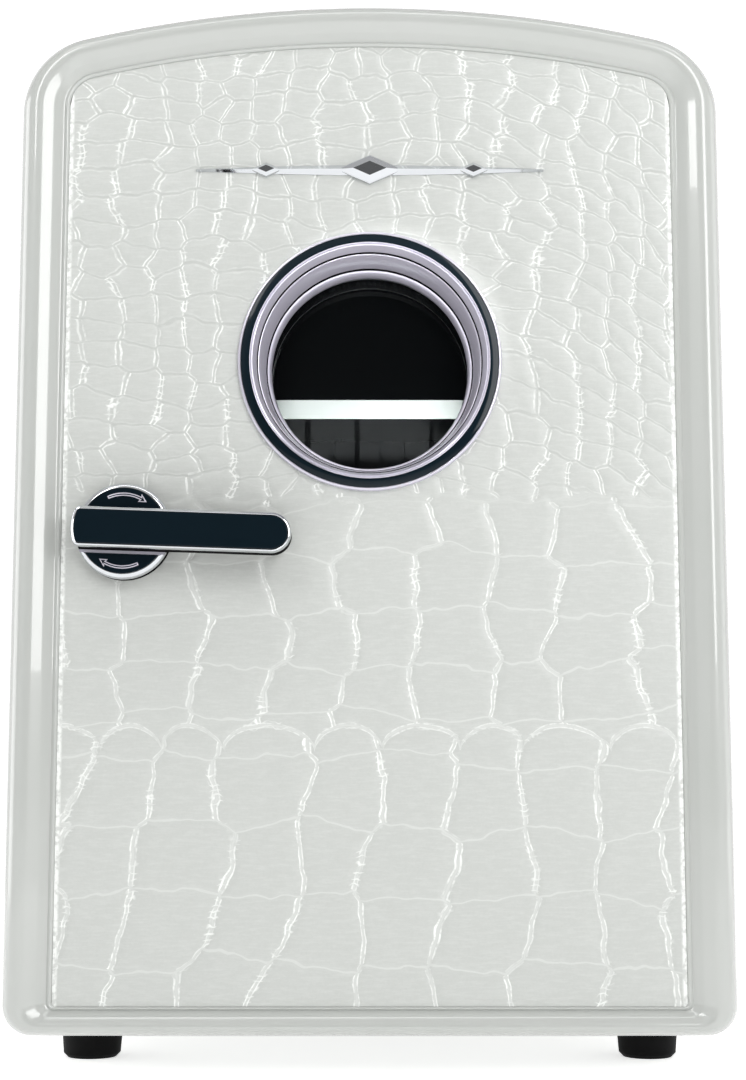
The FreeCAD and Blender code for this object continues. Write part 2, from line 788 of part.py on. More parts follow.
def cabinet_box():
    """The cabinet's collar, arched shell, black cold box, foam and rear bulkhead."""
    collar = slab("front_collar", "CabinetFront", "ShellFront", "0")
    cut_box(collar, "CabinetFront - 1", "9", "-CavityHalf", "CavityBase", "CavityHalf", "CavityTop")
    cut_box(collar, "CabinetFront - 1", "2", "-88", "MagnetLow", "-83", "MagnetHigh")
    keep("strike_plate", block("strike_plate", "-88", "CabinetFront", "MagnetLow",
                               "-83", "CabinetFront + 1", "MagnetHigh"))

    shell = Piece("cabinet_shell")
    tube = shell.draw(FRONT_PLANE, "-ShellFront").body_outline().body_outline("ShellWall")
    shell.pad(tube, "ShellBack - ShellFront")
    well = shell.draw(TOP_PLANE, "BodyTop + 2")
    well.rectangle("-TrayHalf", "TrayFront", "TrayHalf", "TrayBack")
    shell.pocket(well, "20")
    inner, outer = "(CoverScrewAcross - CoverBoss)", "(BodyWidth / 2 - 1)"
    for up in ("CoverScrewLow", "CoverScrewHigh"):
        for left, right in ((f"-{outer}", f"-{inner}"), (inner, outer)):
            boss = shell.draw(FRONT_PLANE, "-BulkheadBack")
            boss.rectangle(left, f"{up} - CoverBoss", right, f"{up} + CoverBoss")
            shell.pad(boss, "ShellBack - BulkheadBack")
    for across, up in corners("CoverScrewAcross", "CoverScrewLow", "CoverScrewHigh"):
        bore(shell, "ScrewShank", "ShellBack - 10", "12", across, up)

    liner = Piece("inner_liner")
    outside = liner.draw(FRONT_PLANE, "-ShellFront")
    outside.rectangle("-(CavityHalf + LinerWall)", "CavityBase - LinerWall",
                      "CavityHalf + LinerWall", "CavityTop + LinerWall")
    liner.pad(outside, "CavityBack + LinerWall - ShellFront")
    cut_box(liner, "ShellFront", "CavityBack - ShellFront",
            "-CavityHalf", "CavityBase", "CavityHalf", "CavityTop")
    cut_box(liner, "CavityBack - 1", "9", "-BlockHalf", "CoolerHeight - BlockHalf",
            "BlockHalf", "CoolerHeight + BlockHalf")
    for left, right in (("-CavityHalf - 0.5", "-CavityHalf + RailReach"),
                        ("CavityHalf - RailReach", "CavityHalf + 0.5")):
        rail = liner.draw(FRONT_PLANE, "-(ShelfFront + 6)")
        rail.rectangle(left, "RailTop - RailDrop", right, "RailTop")
        liner.pad(rail, "ShelfBack - ShelfFront - 6")

    foam = slab("cabinet_insulation", "ShellFront", "BulkheadFront", "ShellWall")
    cut_box(foam, "ShellFront - 1", "CavityBack + LinerWall - ShellFront + 1",
            "-(CavityHalf + LinerWall)", "CavityBase - LinerWall",
            "CavityHalf + LinerWall", "CavityTop + LinerWall")
    cut_box(foam, "CavityBack", "60", "-BlockHalf", "CoolerHeight - BlockHalf",
            "BlockHalf", "CoolerHeight + BlockHalf")
    nest = foam.draw(TOP_PLANE, "BodyTop + 2")
    nest.rectangle("-TrayHalf", "TrayFront", "TrayHalf", "TrayBack")
    foam.pocket(nest, "BodyTop + 2 - TrayBase")

    bulkhead = slab("rear_bulkhead", "BulkheadFront", "BulkheadBack", "ShellWall")
    cut_box(bulkhead, "BulkheadFront - 1", "9", "-(BlockHalf + 1)", "CoolerHeight - BlockHalf - 1",
            "BlockHalf + 1", "CoolerHeight + BlockHalf + 1")
    for across, up in corners("BoardHalf - 5", "BoardHeight - BoardRise + 5", "BoardHeight + BoardRise - 5"):
        post = bulkhead.draw(FRONT_PLANE, "-(BulkheadBack - 0.5)").circle(across, up, "3")
        bulkhead.pad(post, "BoardPlane - BulkheadBack + 0.5")
    for across, up in corners("HotSinkHalf - 6", "CoolerHeight - HotSinkHalf + 6",
                              "CoolerHeight + HotSinkHalf - 6"):
        bore(bulkhead, "ScrewShank", "BulkheadFront - 1", "9", across, up)


def cooler():
    """The thermoelectric stack: cold sink, block, module, hot sink and its screws."""
    low, high = "CoolerHeight - BlockHalf", "CoolerHeight + BlockHalf"
    for name, front, back in (("cold_block", "CavityBack", "BlockBack"),
                              ("thermoelectric_module", "BlockBack", "BulkheadBack")):
        keep(name, block(name, "-BlockHalf", front, low, "BlockHalf", back, high))
    finned("cold_sink", "ColdPlateFront", "CavityBack", "ColdFinFront", "ColdPlateFront",
           "ColdSinkHalf", 10)
    hot = finned("hot_heat_sink", "BulkheadBack", "HotPlateBack", "HotPlateBack", "HotFinBack",
                 "HotSinkHalf", 14)
    places = corners("HotSinkHalf - 6", "CoolerHeight - HotSinkHalf + 6",
                     "CoolerHeight + HotSinkHalf - 6")
    for across, up in places:
        bore(hot, "ScrewHead + 1", "HotPlateBack", "30", across, up)
        bore(hot, "ScrewShank", "BulkheadBack - 1", "9", across, up)
    screws("heat_sink_screws", places, "HotPlateBack + ScrewHeadThick", "7.4", True)


def finned(label, plate_front, plate_back, fin_front, fin_back, half, count):
    """A square heat sink with upright fins."""
    low, high = f"CoolerHeight - {half}", f"CoolerHeight + {half}"
    sink = Piece(label)
    plate = sink.draw(FRONT_PLANE, f"-({plate_front})").rectangle(f"-{half}", low, half, high)
    sink.pad(plate, f"{plate_back} - ({plate_front})")
    edge = sink.draw(FRONT_PLANE, f"-({fin_front})")
    edge.rectangle(f"-{half}", low, f"-{half} + FinThick", high)
    fin = sink.pad(edge, f"{fin_back} - ({fin_front})")
    sink.repeat(fin, "X_Axis", f"2 * {half} - FinThick", count)
    return sink


def fan():
    """The cooling fan: square frame with a motor pin, bladed rotor, guard and screws."""
    frame = Piece("fan_frame")
    square = frame.draw(FRONT_PLANE, "-FanFront").rectangle("-FanHalf", "-FanHalf", "FanHalf", "FanHalf")
    frame.pad(square, "FanBack - FanFront")
    bore(frame, "FanDuct", "FanFront - 1", "40")
    strut = frame.draw(FRONT_PLANE, "-(FanBack - 3)")
    strut.rectangle("0", "-2", "FanDuct + 1", "2")
    arm = frame.pad(strut, "2.5")
    frame.spin(arm, 3)
    motor = frame.draw(FRONT_PLANE, "-MotorFront").circle("0", "0", "FanHubRadius - 1")
    frame.pad(motor, "FanBack - MotorFront")
    shaft = frame.draw(FRONT_PLANE, "-RotorFront").circle("0", "0", "FanShaft")
    frame.pad(shaft, "MotorFront - RotorFront + 1")
    for across, up in (("-FanHole", "-FanHole"), ("-FanHole", "FanHole"),
                       ("FanHole", "-FanHole"), ("FanHole", "FanHole")):
        bore(frame, "ScrewShank", "FanFront - 1", "40", across, up)
    frame.stand(up="CoolerHeight")

    rotor = Piece("fan_rotor")
    hub = rotor.draw(FRONT_PLANE, "-RotorFront").circle("0", "0", "FanHubRadius")
    rotor.pad(hub, "RotorBack - RotorFront")
    blade = rotor.draw(SIDE_PLANE, "FanHubRadius - 1")
    blade.polygon([("RotorFront + 0.6", "-6"), ("RotorFront + 2.4", "-6"),
                   ("RotorBack - 0.6", "5"), ("RotorBack - 2.4", "5")])
    vane = rotor.pad(blade, "FanBladeTip - FanHubRadius", False)
    rotor.spin(vane, 7)
    bore(rotor, "FanShaft + RunningGap", "RotorFront - 1", "40")
    rotor.stand(up="CoolerHeight")

    guard = Piece("fan_guard")
    guard_hoop(guard, "GuardRadius", "0")
    spoke = guard.draw(FRONT_PLANE, "-CoverInside")
    spoke.rectangle("0", "-GuardWire / 2", "GuardRadius - GuardWire / 2", "GuardWire / 2")
    guard.spin(guard.pad(spoke, "CoverBack - CoverInside - 0.8"), 4)
    for quarters in (3, 2, 1):
        guard_hoop(guard, f"GuardRadius * {quarters} / 4", "0.4")
    guard.stand(up="CoolerHeight")
    places = corners("FanHole", "CoolerHeight - FanHole", "CoolerHeight + FanHole")
    screws("fan_screws", places, "CoverBack", "CoverBack - ScrewHeadThick - FanFront - 3", True)


def guard_hoop(guard, radius, lower):
    """One round wire of the fan guard, that much lower than its face."""
    hoop = guard.draw(FRONT_PLANE, "-CoverInside")
    hoop.circle("0", "0", radius).circle("0", "0", f"{radius} - GuardWire")
    guard.pad(hoop, f"CoverBack - CoverInside - {lower}")


def rear_cover():
    """The vented cover over the fan and the board, with its screws."""
    cover = Piece("rear_cover")
    outside = cover.draw(FRONT_PLANE, "-ShellBack").body_outline()
    cover.pad(outside, "CoverBack - ShellBack")
    back = num("CoverBack")
    cover.round_off(lambda e: is_front_rim(e, back, lambda box: True), "FrameRound")
    hollow = cover.draw(FRONT_PLANE, "-ShellBack").body_outline("FrameRound")
    cover.pocket(hollow, "CoverInside - ShellBack")
    places = corners("CoverScrewAcross", "CoverScrewLow", "CoverScrewHigh")
    for across, up in places:
        boss = cover.draw(FRONT_PLANE, "-ShellBack").circle(across, up, "CoverBoss")
        cover.pad(boss, "CoverBack - ShellBack - 1")
    for across, up in places:
        bore(cover, "ScrewShank", "ShellBack - 1", "60", across, up)
        bore(cover, "ScrewHead", "CoverBack - ScrewHeadThick", "9", across, up)
    bore(cover, "GuardRadius", "CoverInside - 1", "9", up="CoolerHeight")
    for across, up in corners("FanHole", "CoolerHeight - FanHole", "CoolerHeight + FanHole"):
        bore(cover, "ScrewShank", "CoverInside - 1", "9", across, up)
        bore(cover, "ScrewHead", "CoverBack - ScrewHeadThick", "9", across, up)
    slot = cover.draw(FRONT_PLANE, "-(CoverInside - 1)")
    slot.rectangle("SlotAcross", "SlotLow", "SlotAcross + SlotWidth", "SlotHigh")
    cover.repeat(cover.pocket(slot, "9"), "X_Axis", "SlotRun", 12)
    vent = cover.draw(SIDE_PLANE, "BodyWidth / 2 + 1")
    vent.rectangle("VentFront", "VentLow", "VentBack", "VentLow + VentTall")
    cover.repeat(cover.pocket(vent, "BodyWidth + 2"), "Z_Axis", "VentRun", 13)
    for middle, half in (("MainsAcross", "MainsHalf"), ("SwitchAcross", "SwitchHalf")):
        cut_box(cover, "CoverInside - 1", "9", f"{middle} - {half}", "SocketHeight - SocketRise",
                f"{middle} + {half}", "SocketHeight + SocketRise")
    bore(cover, "CarRadius", "CoverInside - 1", "9", "CarAcross", "SocketHeight")
    screws("rear_cover_screws", places, "CoverBack", "CoverBack - ScrewHeadThick - ShellBack + 8", True)


def electrics():
    """The control board with its parts, the two power inlets and the mode switch."""
    surface = "BoardPlane + BoardThick"
    keep("control_board", block("control_board", "-BoardHalf", "BoardPlane", "BoardHeight - BoardRise",
                                "BoardHalf", surface, "BoardHeight + BoardRise"))
    keep("power_transformer", block(
        "power_transformer", "TransformerLeft", surface, "PartsHeight - TransformerRise",
        "TransformerRight", "BoardPlane + PartsDepth", "PartsHeight + TransformerRise"))
    group = []
    for place in range(3):
        across = f"CapacitorRadius - 0.5 + {place} * CapacitorPitch"
        group.append(rod("capacitor", "CapacitorRadius", "CapacitorLength",
                         (across, surface, "PartsHeight"), (1, 0, 0), -90))
    grouped("filter_capacitors", group)

    mains = Piece("mains_inlet")
    body = mains.draw(FRONT_PLANE, "-(CoverBack - 20)")
    mains.pad(body.rectangle("-MainsHalf", "-SocketRise", "MainsHalf", "SocketRise"), "20")
    well = mains.draw(FRONT_PLANE, "-(CoverBack - 14)")
    mains.pocket(well.rectangle("-MainsWell", "3 - SocketRise", "MainsWell", "SocketRise - 3"), "20")
    for across in ("-4.3", "4.3"):
        prong = mains.draw(FRONT_PLANE, "-(CoverBack - 15)").circle(across, "0", "1.2")
        mains.pad(prong, "11")
    mains.stand("MainsAcross", "0", "SocketHeight")

    car = Piece("car_inlet")
    car.pad(car.draw(FRONT_PLANE, "-(CoverBack - 18)").circle("0", "0", "CarRadius"), "18")
    bore(car, "5.5", "CoverBack - 13", "20")
    car.pad(car.draw(FRONT_PLANE, "-(CoverBack - 14)").circle("0", "0", "1"), "10")
    car.stand("CarAcross", "0", "SocketHeight")

    bezel = Piece("switch_housing")
    rim = bezel.draw(FRONT_PLANE, "-(CoverBack - 16)")
    bezel.pad(rim.rectangle("-SwitchHalf", "-SocketRise", "SwitchHalf", "SocketRise"), "16")
    cut_box(bezel, "CoverBack - 13", "20", "-8.5", "-5.8", "8.5", "5.8")
    socket = bezel.draw(SIDE_PLANE, "RockerHalf + RockerStub")
    socket.circle("CoverBack - 6", "0", "RockerPin + RunningGap")
    bezel.pocket(socket, "2 * (RockerHalf + RockerStub)")
    bezel.stand("SwitchAcross", "0", "SocketHeight")
    rocker = Piece("mode_switch")
    side = rocker.draw(SIDE_PLANE, "-RockerHalf")
    side.polygon([("CoverBack - 8", "-4.6"), ("CoverBack - 0.6", "-4.6"), ("CoverBack - 1.8", "0"),
                  ("CoverBack - 0.6", "4.6"), ("CoverBack - 8", "4.6")])
    rocker.pad(side, "2 * RockerHalf", False)
    stub = rocker.draw(SIDE_PLANE, "-(RockerHalf + RockerStub - 0.2)")
    rocker.pad(stub.circle("CoverBack - 6", "0", "RockerPin"), "2 * (RockerHalf + RockerStub - 0.2)", False)
    rocker.stand("SwitchAcross", "0", "SocketHeight")


def carry_handle():
    """The fold-down handle, its two pins and the tray in the arched top."""
    arch = rod("arch", "ArchRadius", "200", ("0", "-100", "BodyTop - ArchRadius"), (1, 0, 0), -90)
    box = block("tray_box", "-TrayHalf", "TrayFront", "TrayBase", "TrayHalf", "TrayBack", "BodyTop")
    outside = doc.addObject("Part::Common", "tray_outside")
    outside.Base = box
    outside.Tool = arch
    tray = doc.addObject("Part::Cut", "handle_tray")
    tray.Base = outside
    tray.Tool = block("tray_space", "-TrayHalf + TrayWall", "TrayFront + TrayWall",
                      "TrayBase + TrayWall", "TrayHalf - TrayWall", "TrayBack - TrayWall", "BodyTop + 1")
    keep("handle_tray", tray)

    bail = Piece("carry_handle")
    flat = bail.draw(TOP_PLANE, "HandlePivotHeight - HandleArm / 2")
    flat.polygon([
        ("-HandleHalf", "HandleGripFront"), ("HandleHalf", "HandleGripFront"),
        ("HandleHalf", "HandleEnd"), ("HandleHalf - HandleArm", "HandleEnd"),
        ("HandleHalf - HandleArm", "HandleGripFront + HandleGripDepth"),
        ("-(HandleHalf - HandleArm)", "HandleGripFront + HandleGripDepth"),
        ("-(HandleHalf - HandleArm)", "HandleEnd"), ("-HandleHalf", "HandleEnd"),
    ])
    bail.pad(flat, "HandleArm", False)
    front = num("HandleGripFront")
    bail.round_off(lambda e: is_upright(e) and e.BoundBox.YMax < front + 1e-3, "8")
    eye = bail.draw(SIDE_PLANE, "HandleHalf + 1")
    eye.circle("HandlePivotDepth", "HandlePivotHeight", "HandlePinRadius + RunningGap")
    bail.pocket(eye, "2 * HandleHalf + 2")
    pins = []
    for start in ("-TrayHalf + TrayWall", "HandleHalf - HandleArm - 1"):
        length = "TrayHalf - TrayWall - HandleHalf + HandleArm + 1"
        pins.append(rod("handle_pin", "HandlePinRadius", length,
                        (start, "HandlePivotDepth", "HandlePivotHeight"), (0, 1, 0), 90))
    grouped("handle_pins", pins)


def is_upright(edge):
    """Whether an edge runs straight up."""
    box = edge.BoundBox
    return box.XLength < 1e-3 and box.YLength < 1e-3 and box.ZLength > 1


def shelf():
    """The lift-out shelf with a deep front lip."""
    piece = Piece("shelf")
    plate = piece.draw(TOP_PLANE, "ShelfLow")
    plate.rectangle("-CavityHalf + ShelfGap", "ShelfFront", "CavityHalf - ShelfGap", "ShelfBack")
    piece.pad(plate, "ShelfThick", False)
    lip = piece.draw(TOP_PLANE, "ShelfLow")
    lip.rectangle("-CavityHalf + ShelfGap", "ShelfFront", "CavityHalf - ShelfGap", "ShelfFront + 3")
    piece.pad(lip, "ShelfTop - ShelfLow", False)


def feet():
    """Four tapered rubber feet, bonded under the cabinet shell."""
    places = [("front_left", "-FootAcross", "FootDepth"), ("front_right", "FootAcross", "FootDepth"),
              ("rear_left", "-FootAcross", "FootRearDepth"), ("rear_right", "FootAcross", "FootRearDepth")]
    for name, across, deep in places:
        foot = Piece(f"foot_{name}")
        side = foot.draw(FRONT_PLANE).polygon([
            ("0", "0"), ("FootLowRadius - FootRound", "0"), ("FootLowRadius", "FootRound"),
            ("FootRadius", "BodyBase"), ("0", "BodyBase"),
        ])
        foot.revolve(side)
        foot.stand(across, deep)


def check_and_write():
    """Stops on anything that failed, then writes each sub-part to its own file."""
    doc.recompute()
    for item in doc.Objects:
        if {"Invalid", "Error"} & set(item.State):
            raise ValueError(f"{item.Name} ({item.Label}) failed: {item.State}")
    os.makedirs("parts", exist_ok=True)
    for label, item in NODES:
        shape = item.Shape
        if shape.isNull() or not shape.isValid() or not shape.Solids:
            raise ValueError(f"{label} has no valid solid")
        shape.exportStep(f"parts/{label}.step")
    print(len(NODES), "nodes written")


door_frame()
door_cladding()
door_gasket()
porthole()
badge()
latch()
hinges()
cabinet_box()
cooler()
fan()
rear_cover()
electrics()
carry_handle()
shelf()
feet()
check_and_write()
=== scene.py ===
import json
import logging
import math
from collections.abc import Iterable, Sequence
from dataclasses import dataclass, field
from enum import Enum
from typing import Any

import bmesh
import bpy
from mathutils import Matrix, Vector


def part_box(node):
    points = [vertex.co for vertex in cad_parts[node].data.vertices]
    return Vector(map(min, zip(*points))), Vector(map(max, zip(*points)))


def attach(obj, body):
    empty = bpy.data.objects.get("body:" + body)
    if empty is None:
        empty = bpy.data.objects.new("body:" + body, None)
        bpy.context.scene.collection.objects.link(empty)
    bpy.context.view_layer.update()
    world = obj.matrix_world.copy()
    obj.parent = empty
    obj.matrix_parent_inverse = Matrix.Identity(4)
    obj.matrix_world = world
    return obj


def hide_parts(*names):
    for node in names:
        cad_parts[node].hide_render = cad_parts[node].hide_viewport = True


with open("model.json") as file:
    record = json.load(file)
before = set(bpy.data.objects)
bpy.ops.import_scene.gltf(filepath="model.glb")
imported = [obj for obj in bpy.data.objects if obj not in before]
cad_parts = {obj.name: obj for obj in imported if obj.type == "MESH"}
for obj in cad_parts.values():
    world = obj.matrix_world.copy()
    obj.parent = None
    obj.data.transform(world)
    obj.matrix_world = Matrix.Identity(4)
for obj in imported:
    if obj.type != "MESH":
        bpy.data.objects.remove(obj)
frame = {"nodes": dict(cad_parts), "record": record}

log = logging.getLogger("fridge")
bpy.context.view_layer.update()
MM = 0.001
Flat = list[tuple[float, float]]


def linear(code: str) -> tuple[float, float, float, float]:
    """Turns an sRGB hex colour into linear light.

    Args:
        code: Six hex digits, such as "d9dbd8".

    Returns:
        Red, green, blue and an alpha of one.
    """
    parts = [int(code[i : i + 2], 16) / 255 for i in (0, 2, 4)]
    lit = [c / 12.92 if c <= 0.04045 else ((c + 0.055) / 1.055) ** 2.4 for c in parts]
    return (*lit, 1.0)


def add(tree: bpy.types.NodeTree, kind: str, inputs: Any = (), **settings: Any) -> bpy.types.Node:
    """Adds one node with its settings and links.

    Args:
        tree: The node tree it goes in.
        kind: The node's type name.
        inputs: Values, sockets or nodes by position, or by name in a dict. A node stands for its
            first output and None leaves a socket alone.
        **settings: Properties set before the inputs.

    Returns:
        The new node.
    """
    node = tree.nodes.new(kind)
    for key, value in settings.items():
        setattr(node, key, value)
    pairs = inputs.items() if isinstance(inputs, dict) else enumerate(inputs)
    for key, value in pairs:
        if isinstance(value, bpy.types.Node):
            value = value.outputs[0]
        if isinstance(value, bpy.types.NodeSocket):
            tree.links.new(value, node.inputs[key])
        elif value is not None:
            node.inputs[key].default_value = value
    return node


def op(tree: bpy.types.NodeTree, kind: str, *values: Any, clamp: bool = False) -> bpy.types.Node:
    """Adds one arithmetic node."""
    return add(tree, "ShaderNodeMath", list(values), operation=kind, use_clamp=clamp)


def ramp(tree: bpy.types.NodeTree, value: Any, start: Any, end: Any, low: Any = 0.0, high: Any = 1.0,
         smooth: bool = False) -> bpy.types.Node:
    """Adds a node that takes start..end to low..high, clamped.

    Args:
        tree: The tree.
        value: What is read.
        start: Where it gives low.
        end: Where it gives high.
        low: The result at the start.
        high: The result at the end.
        smooth: Whether it eases in and out.

    Returns:
        The node.
    """
    kind = "SMOOTHSTEP" if smooth else "LINEAR"
    inputs = {"Value": value, "From Min": start, "From Max": end, "To Min": low, "To Max": high}
    return add(tree, "ShaderNodeMapRange", inputs, interpolation_type=kind)


def vector(tree: bpy.types.NodeTree, kind: str, *values: Any) -> bpy.types.Node:
    """Adds one vector arithmetic node."""
    return add(tree, "ShaderNodeVectorMath", list(values), operation=kind)


def mix(tree: bpy.types.NodeTree, share: Any, first: Any, second: Any) -> bpy.types.Node:
    """Adds a node that goes from the first number to the second as the share goes from 0 to 1."""
    return add(tree, "ShaderNodeMix", {0: share, 2: first, 3: second})


class Grain(Enum):
    """How a finish was worked, which sets the shape of its fine marks."""

    MOULDED = (1.0, 1.0, 1.0)
    BRUSHED = (0.04, 1.0, 1.0)
    DRAWN = (1.0, 0.05, 1.0)
    EXTRUDED = (1.0, 1.0, 0.04)


@dataclass(frozen=True)
class Finish:
    """One real surface finish, told by its colour, gloss and the size of its marks.

    The marks are a noise on object coordinates, so they keep their real size on every piece.
    """

    name: str
    colour: str
    shade: str
    metallic: float = 0.0
    roughness: float = 0.4
    polish: float = 0.06
    grain_mm: float = 1.2
    depth_mm: float = 0.01
    blotch_mm: float = 30.0
    coat: float = 0.0
    coat_roughness: float = 0.03
    specular: float = 0.5
    grain: Grain = Grain.MOULDED

    def build(self) -> bpy.types.Material:
        """Makes the material."""
        made = bpy.data.materials.new(self.name)
        made.use_nodes = True
        tree = made.node_tree
        tree.nodes.clear()
        where = add(tree, "ShaderNodeTexCoord").outputs["Object"]
        along = add(tree, "ShaderNodeMapping", {"Vector": where, "Scale": self.grain.value})
        fine = add(tree, "ShaderNodeTexNoise", {"Vector": along, "Scale": 1 / (self.grain_mm * MM), "Detail": 3.0})
        broad = add(tree, "ShaderNodeTexNoise", {"Vector": where, "Scale": 1 / (self.blotch_mm * MM)})
        tone = add(tree, "ShaderNodeMix", {0: broad, 6: linear(self.colour), 7: linear(self.shade)}, data_type="RGBA")
        gloss = ramp(tree, fine, 0.0, 1.0, self.roughness - self.polish / 2, self.roughness + self.polish / 2)
        marks = add(tree, "ShaderNodeBump", {
            "Strength": 0.6, "Distance": self.depth_mm * MM, "Height": fine})
        body = add(tree, "ShaderNodeBsdfPrincipled", {
            "Base Color": tone.outputs[2], "Metallic": self.metallic, "Roughness": gloss,
            "Normal": marks, "Specular IOR Level": self.specular, "Coat Weight": self.coat,
            "Coat Roughness": self.coat_roughness})
        add(tree, "ShaderNodeOutputMaterial", {"Surface": body})
        return made


@dataclass(frozen=True)
class ClearGlass:
    """Float glass for a small window: clear, with a faint grey edge tint and a sharp reflection."""

    name: str = "float_glass"
    colour: str = "fdfefe"

    def build(self) -> bpy.types.Material:
        """Makes the material from a clear part and a mirror part, weighed by the angle."""
        made = bpy.data.materials.new(self.name)
        made.use_nodes = True
        tree = made.node_tree
        tree.nodes.clear()
        where = add(tree, "ShaderNodeTexCoord").outputs["Object"]
        wave = add(tree, "ShaderNodeTexNoise", {"Vector": where, "Scale": 1 / (25 * MM)})
        ripple = add(tree, "ShaderNodeBump", {"Strength": 0.2, "Distance": 0.01 * MM, "Height": wave})
        clear = add(tree, "ShaderNodeBsdfTransparent", {"Color": linear(self.colour)})
        mirror = add(tree, "ShaderNodeBsdfPrincipled", {
            "Base Color": linear("0a0c0e"), "Roughness": 0.02, "Normal": ripple})
        angle = add(tree, "ShaderNodeFresnel", {"IOR": 1.5, "Normal": ripple})
        share = op(tree, "ADD", angle, 0.03)
        both = add(tree, "ShaderNodeMixShader", [share, clear, mirror])
        add(tree, "ShaderNodeOutputMaterial", {"Surface": both})
        return made


@dataclass(frozen=True)
class HideZone:
    """One zone of a crocodile hide: the size of its scales and how evenly they sit."""

    wide_mm: float
    tall_mm: float
    unevenness: float
    upright: float
    level: float


@dataclass(frozen=True)
class HidePattern:
    """The scales that are pressed into crocodile-print leather, as a field over X and Z.

    The flank's small rounded scales are at the top, the belly's wide tiles below, and a row of
    scallops parts the belly's two halves. The same nodes drive the pressed shape and the finish.
    """

    flank: HideZone = HideZone(9.4, 6.9, 0.56, 0.9, 0.5)
    belly: HideZone = HideZone(19.3, 14.0, 0.34, 1.0, 0.22)
    tail: HideZone = HideZone(19.0, 17.5, 0.36, 1.0, 0.25)
    flank_edge_mm: float = 151.0
    scallop_mm: float = 86.5
    scallop_rise_mm: float = 6.5
    scallop_dip_mm: float = 3.4
    wander_mm: float = 4.6
    ladder_mm: float = 1.75
    panel_half_mm: float = 81.5

    def lay(self, tree: bpy.types.NodeTree, place: Any) -> dict[str, Any]:
        """Adds the field's nodes.

        Args:
            tree: A shader or geometry tree.
            place: The socket that holds the position in metres.

        Returns:
            Sockets for the distance to the nearest crease in millimetres, the crease's strength,
            how upright it runs, and the plain coordinates in millimetres.
        """
        big = add(tree, "ShaderNodeVectorMath", {0: place, "Scale": 1000.0}, operation="SCALE")
        split = add(tree, "ShaderNodeSeparateXYZ", [big])
        x, z = split.outputs["X"], split.outputs["Z"]
        flat = add(tree, "ShaderNodeCombineXYZ", [x, z, 0.0])
        drift = add(tree, "ShaderNodeTexNoise", {"Vector": flat, "Scale": 0.028, "Detail": 0.0})
        jolt = add(tree, "ShaderNodeTexNoise", {"Vector": flat, "Scale": 0.16, "Detail": 1.0})
        slow = vector(tree, "SUBTRACT", drift.outputs["Color"], (0.5, 0.5, 0.5))
        quick = vector(tree, "SUBTRACT", jolt.outputs["Color"], (0.5, 0.5, 0.5))
        slow = vector(tree, "MULTIPLY_ADD", slow, (3.2 * self.wander_mm, 1.8 * self.wander_mm, 0.0), flat)
        moved = vector(tree, "MULTIPLY_ADD", quick, (2.8, 3.2, 0.0), slow)
        apart = add(tree, "ShaderNodeSeparateXYZ", [moved])
        wx, wz = apart.outputs["X"], apart.outputs["Y"]

        right = op(tree, "MAXIMUM", x, 0.0)
        sweep = op(tree, "POWER", right, 2.0)
        scaly = op(tree, "MULTIPLY_ADD", sweep, 0.0036, wz)
        flank = self.zone(tree, self.flank, wx, scaly)
        belly = self.zone(tree, self.belly, wx, wz)
        below = op(tree, "SUBTRACT", z, self.scallop_mm)
        lean = op(tree, "MULTIPLY_ADD", x, -0.0010, 0.12)
        shift = op(tree, "MULTIPLY", lean, below)
        fanned = op(tree, "SUBTRACT", wx, shift)
        fanned = op(tree, "ADD", fanned, 9.5)
        tail = self.zone(tree, self.tail, fanned, wz)

        turn = op(tree, "SUBTRACT", wx, self.scallop_dip_mm)
        turn = op(tree, "MULTIPLY", turn, math.pi / self.tail.wide_mm)
        wave = op(tree, "SINE", turn)
        arch = op(tree, "ABSOLUTE", wave)
        arch = op(tree, "POWER", arch, 0.5)
        bowl = op(tree, "MULTIPLY_ADD", arch, self.scallop_rise_mm, self.scallop_mm - 2.5)
        low_gap = op(tree, "SUBTRACT", z, bowl)
        high_gap = op(tree, "SUBTRACT", wz, self.flank_edge_mm)
        # the last number of each join sets how much painted highlight its seam takes
        result = self.join(tree, flank, belly, high_gap, 0.3, 0.1)
        result = self.join(tree, result, tail, low_gap, 0.8, 0.62)
        return {**result, "x": x, "z": z}

    def zone(self, tree: bpy.types.NodeTree, zone: HideZone, across: Any, up: Any) -> dict[str, Any]:
        """Adds one zone's scales as cells of a loose grid.

        Args:
            tree: The tree.
            zone: The zone's sizes.
            across: The place across, in millimetres.
            up: The place up, in millimetres.

        Returns:
            Sockets for distance, strength and how upright the crease runs.
        """
        u = op(tree, "DIVIDE", across, zone.wide_mm)
        v = op(tree, "DIVIDE", up, zone.tall_mm)
        cell = add(tree, "ShaderNodeCombineXYZ", [u, v, 0.0])
        shared = {"Vector": cell, "Scale": 1.0, "Randomness": zone.unevenness}
        edge = add(tree, "ShaderNodeTexVoronoi", shared, voronoi_dimensions="2D", feature="DISTANCE_TO_EDGE")
        near = add(tree, "ShaderNodeTexVoronoi", shared, voronoi_dimensions="2D", feature="F1")
        far = add(tree, "ShaderNodeTexVoronoi", shared, voronoi_dimensions="2D", feature="F2")
        gap = vector(tree, "SUBTRACT", far.outputs["Position"], near.outputs["Position"])
        way = vector(tree, "NORMALIZE", gap)
        size = vector(tree, "ABSOLUTE", way)
        lean = add(tree, "ShaderNodeSeparateXYZ", [size])
        upright = ramp(tree, lean.outputs["X"], 0.5, 0.85)
        pitch = ramp(tree, upright, 0.0, 1.0, zone.tall_mm, zone.wide_mm)
        distance = op(tree, "MULTIPLY", edge, pitch)
        strength = ramp(tree, upright, 0.0, 1.0, zone.level, zone.upright)
        return {"distance": distance, "strength": strength, "upright": upright}

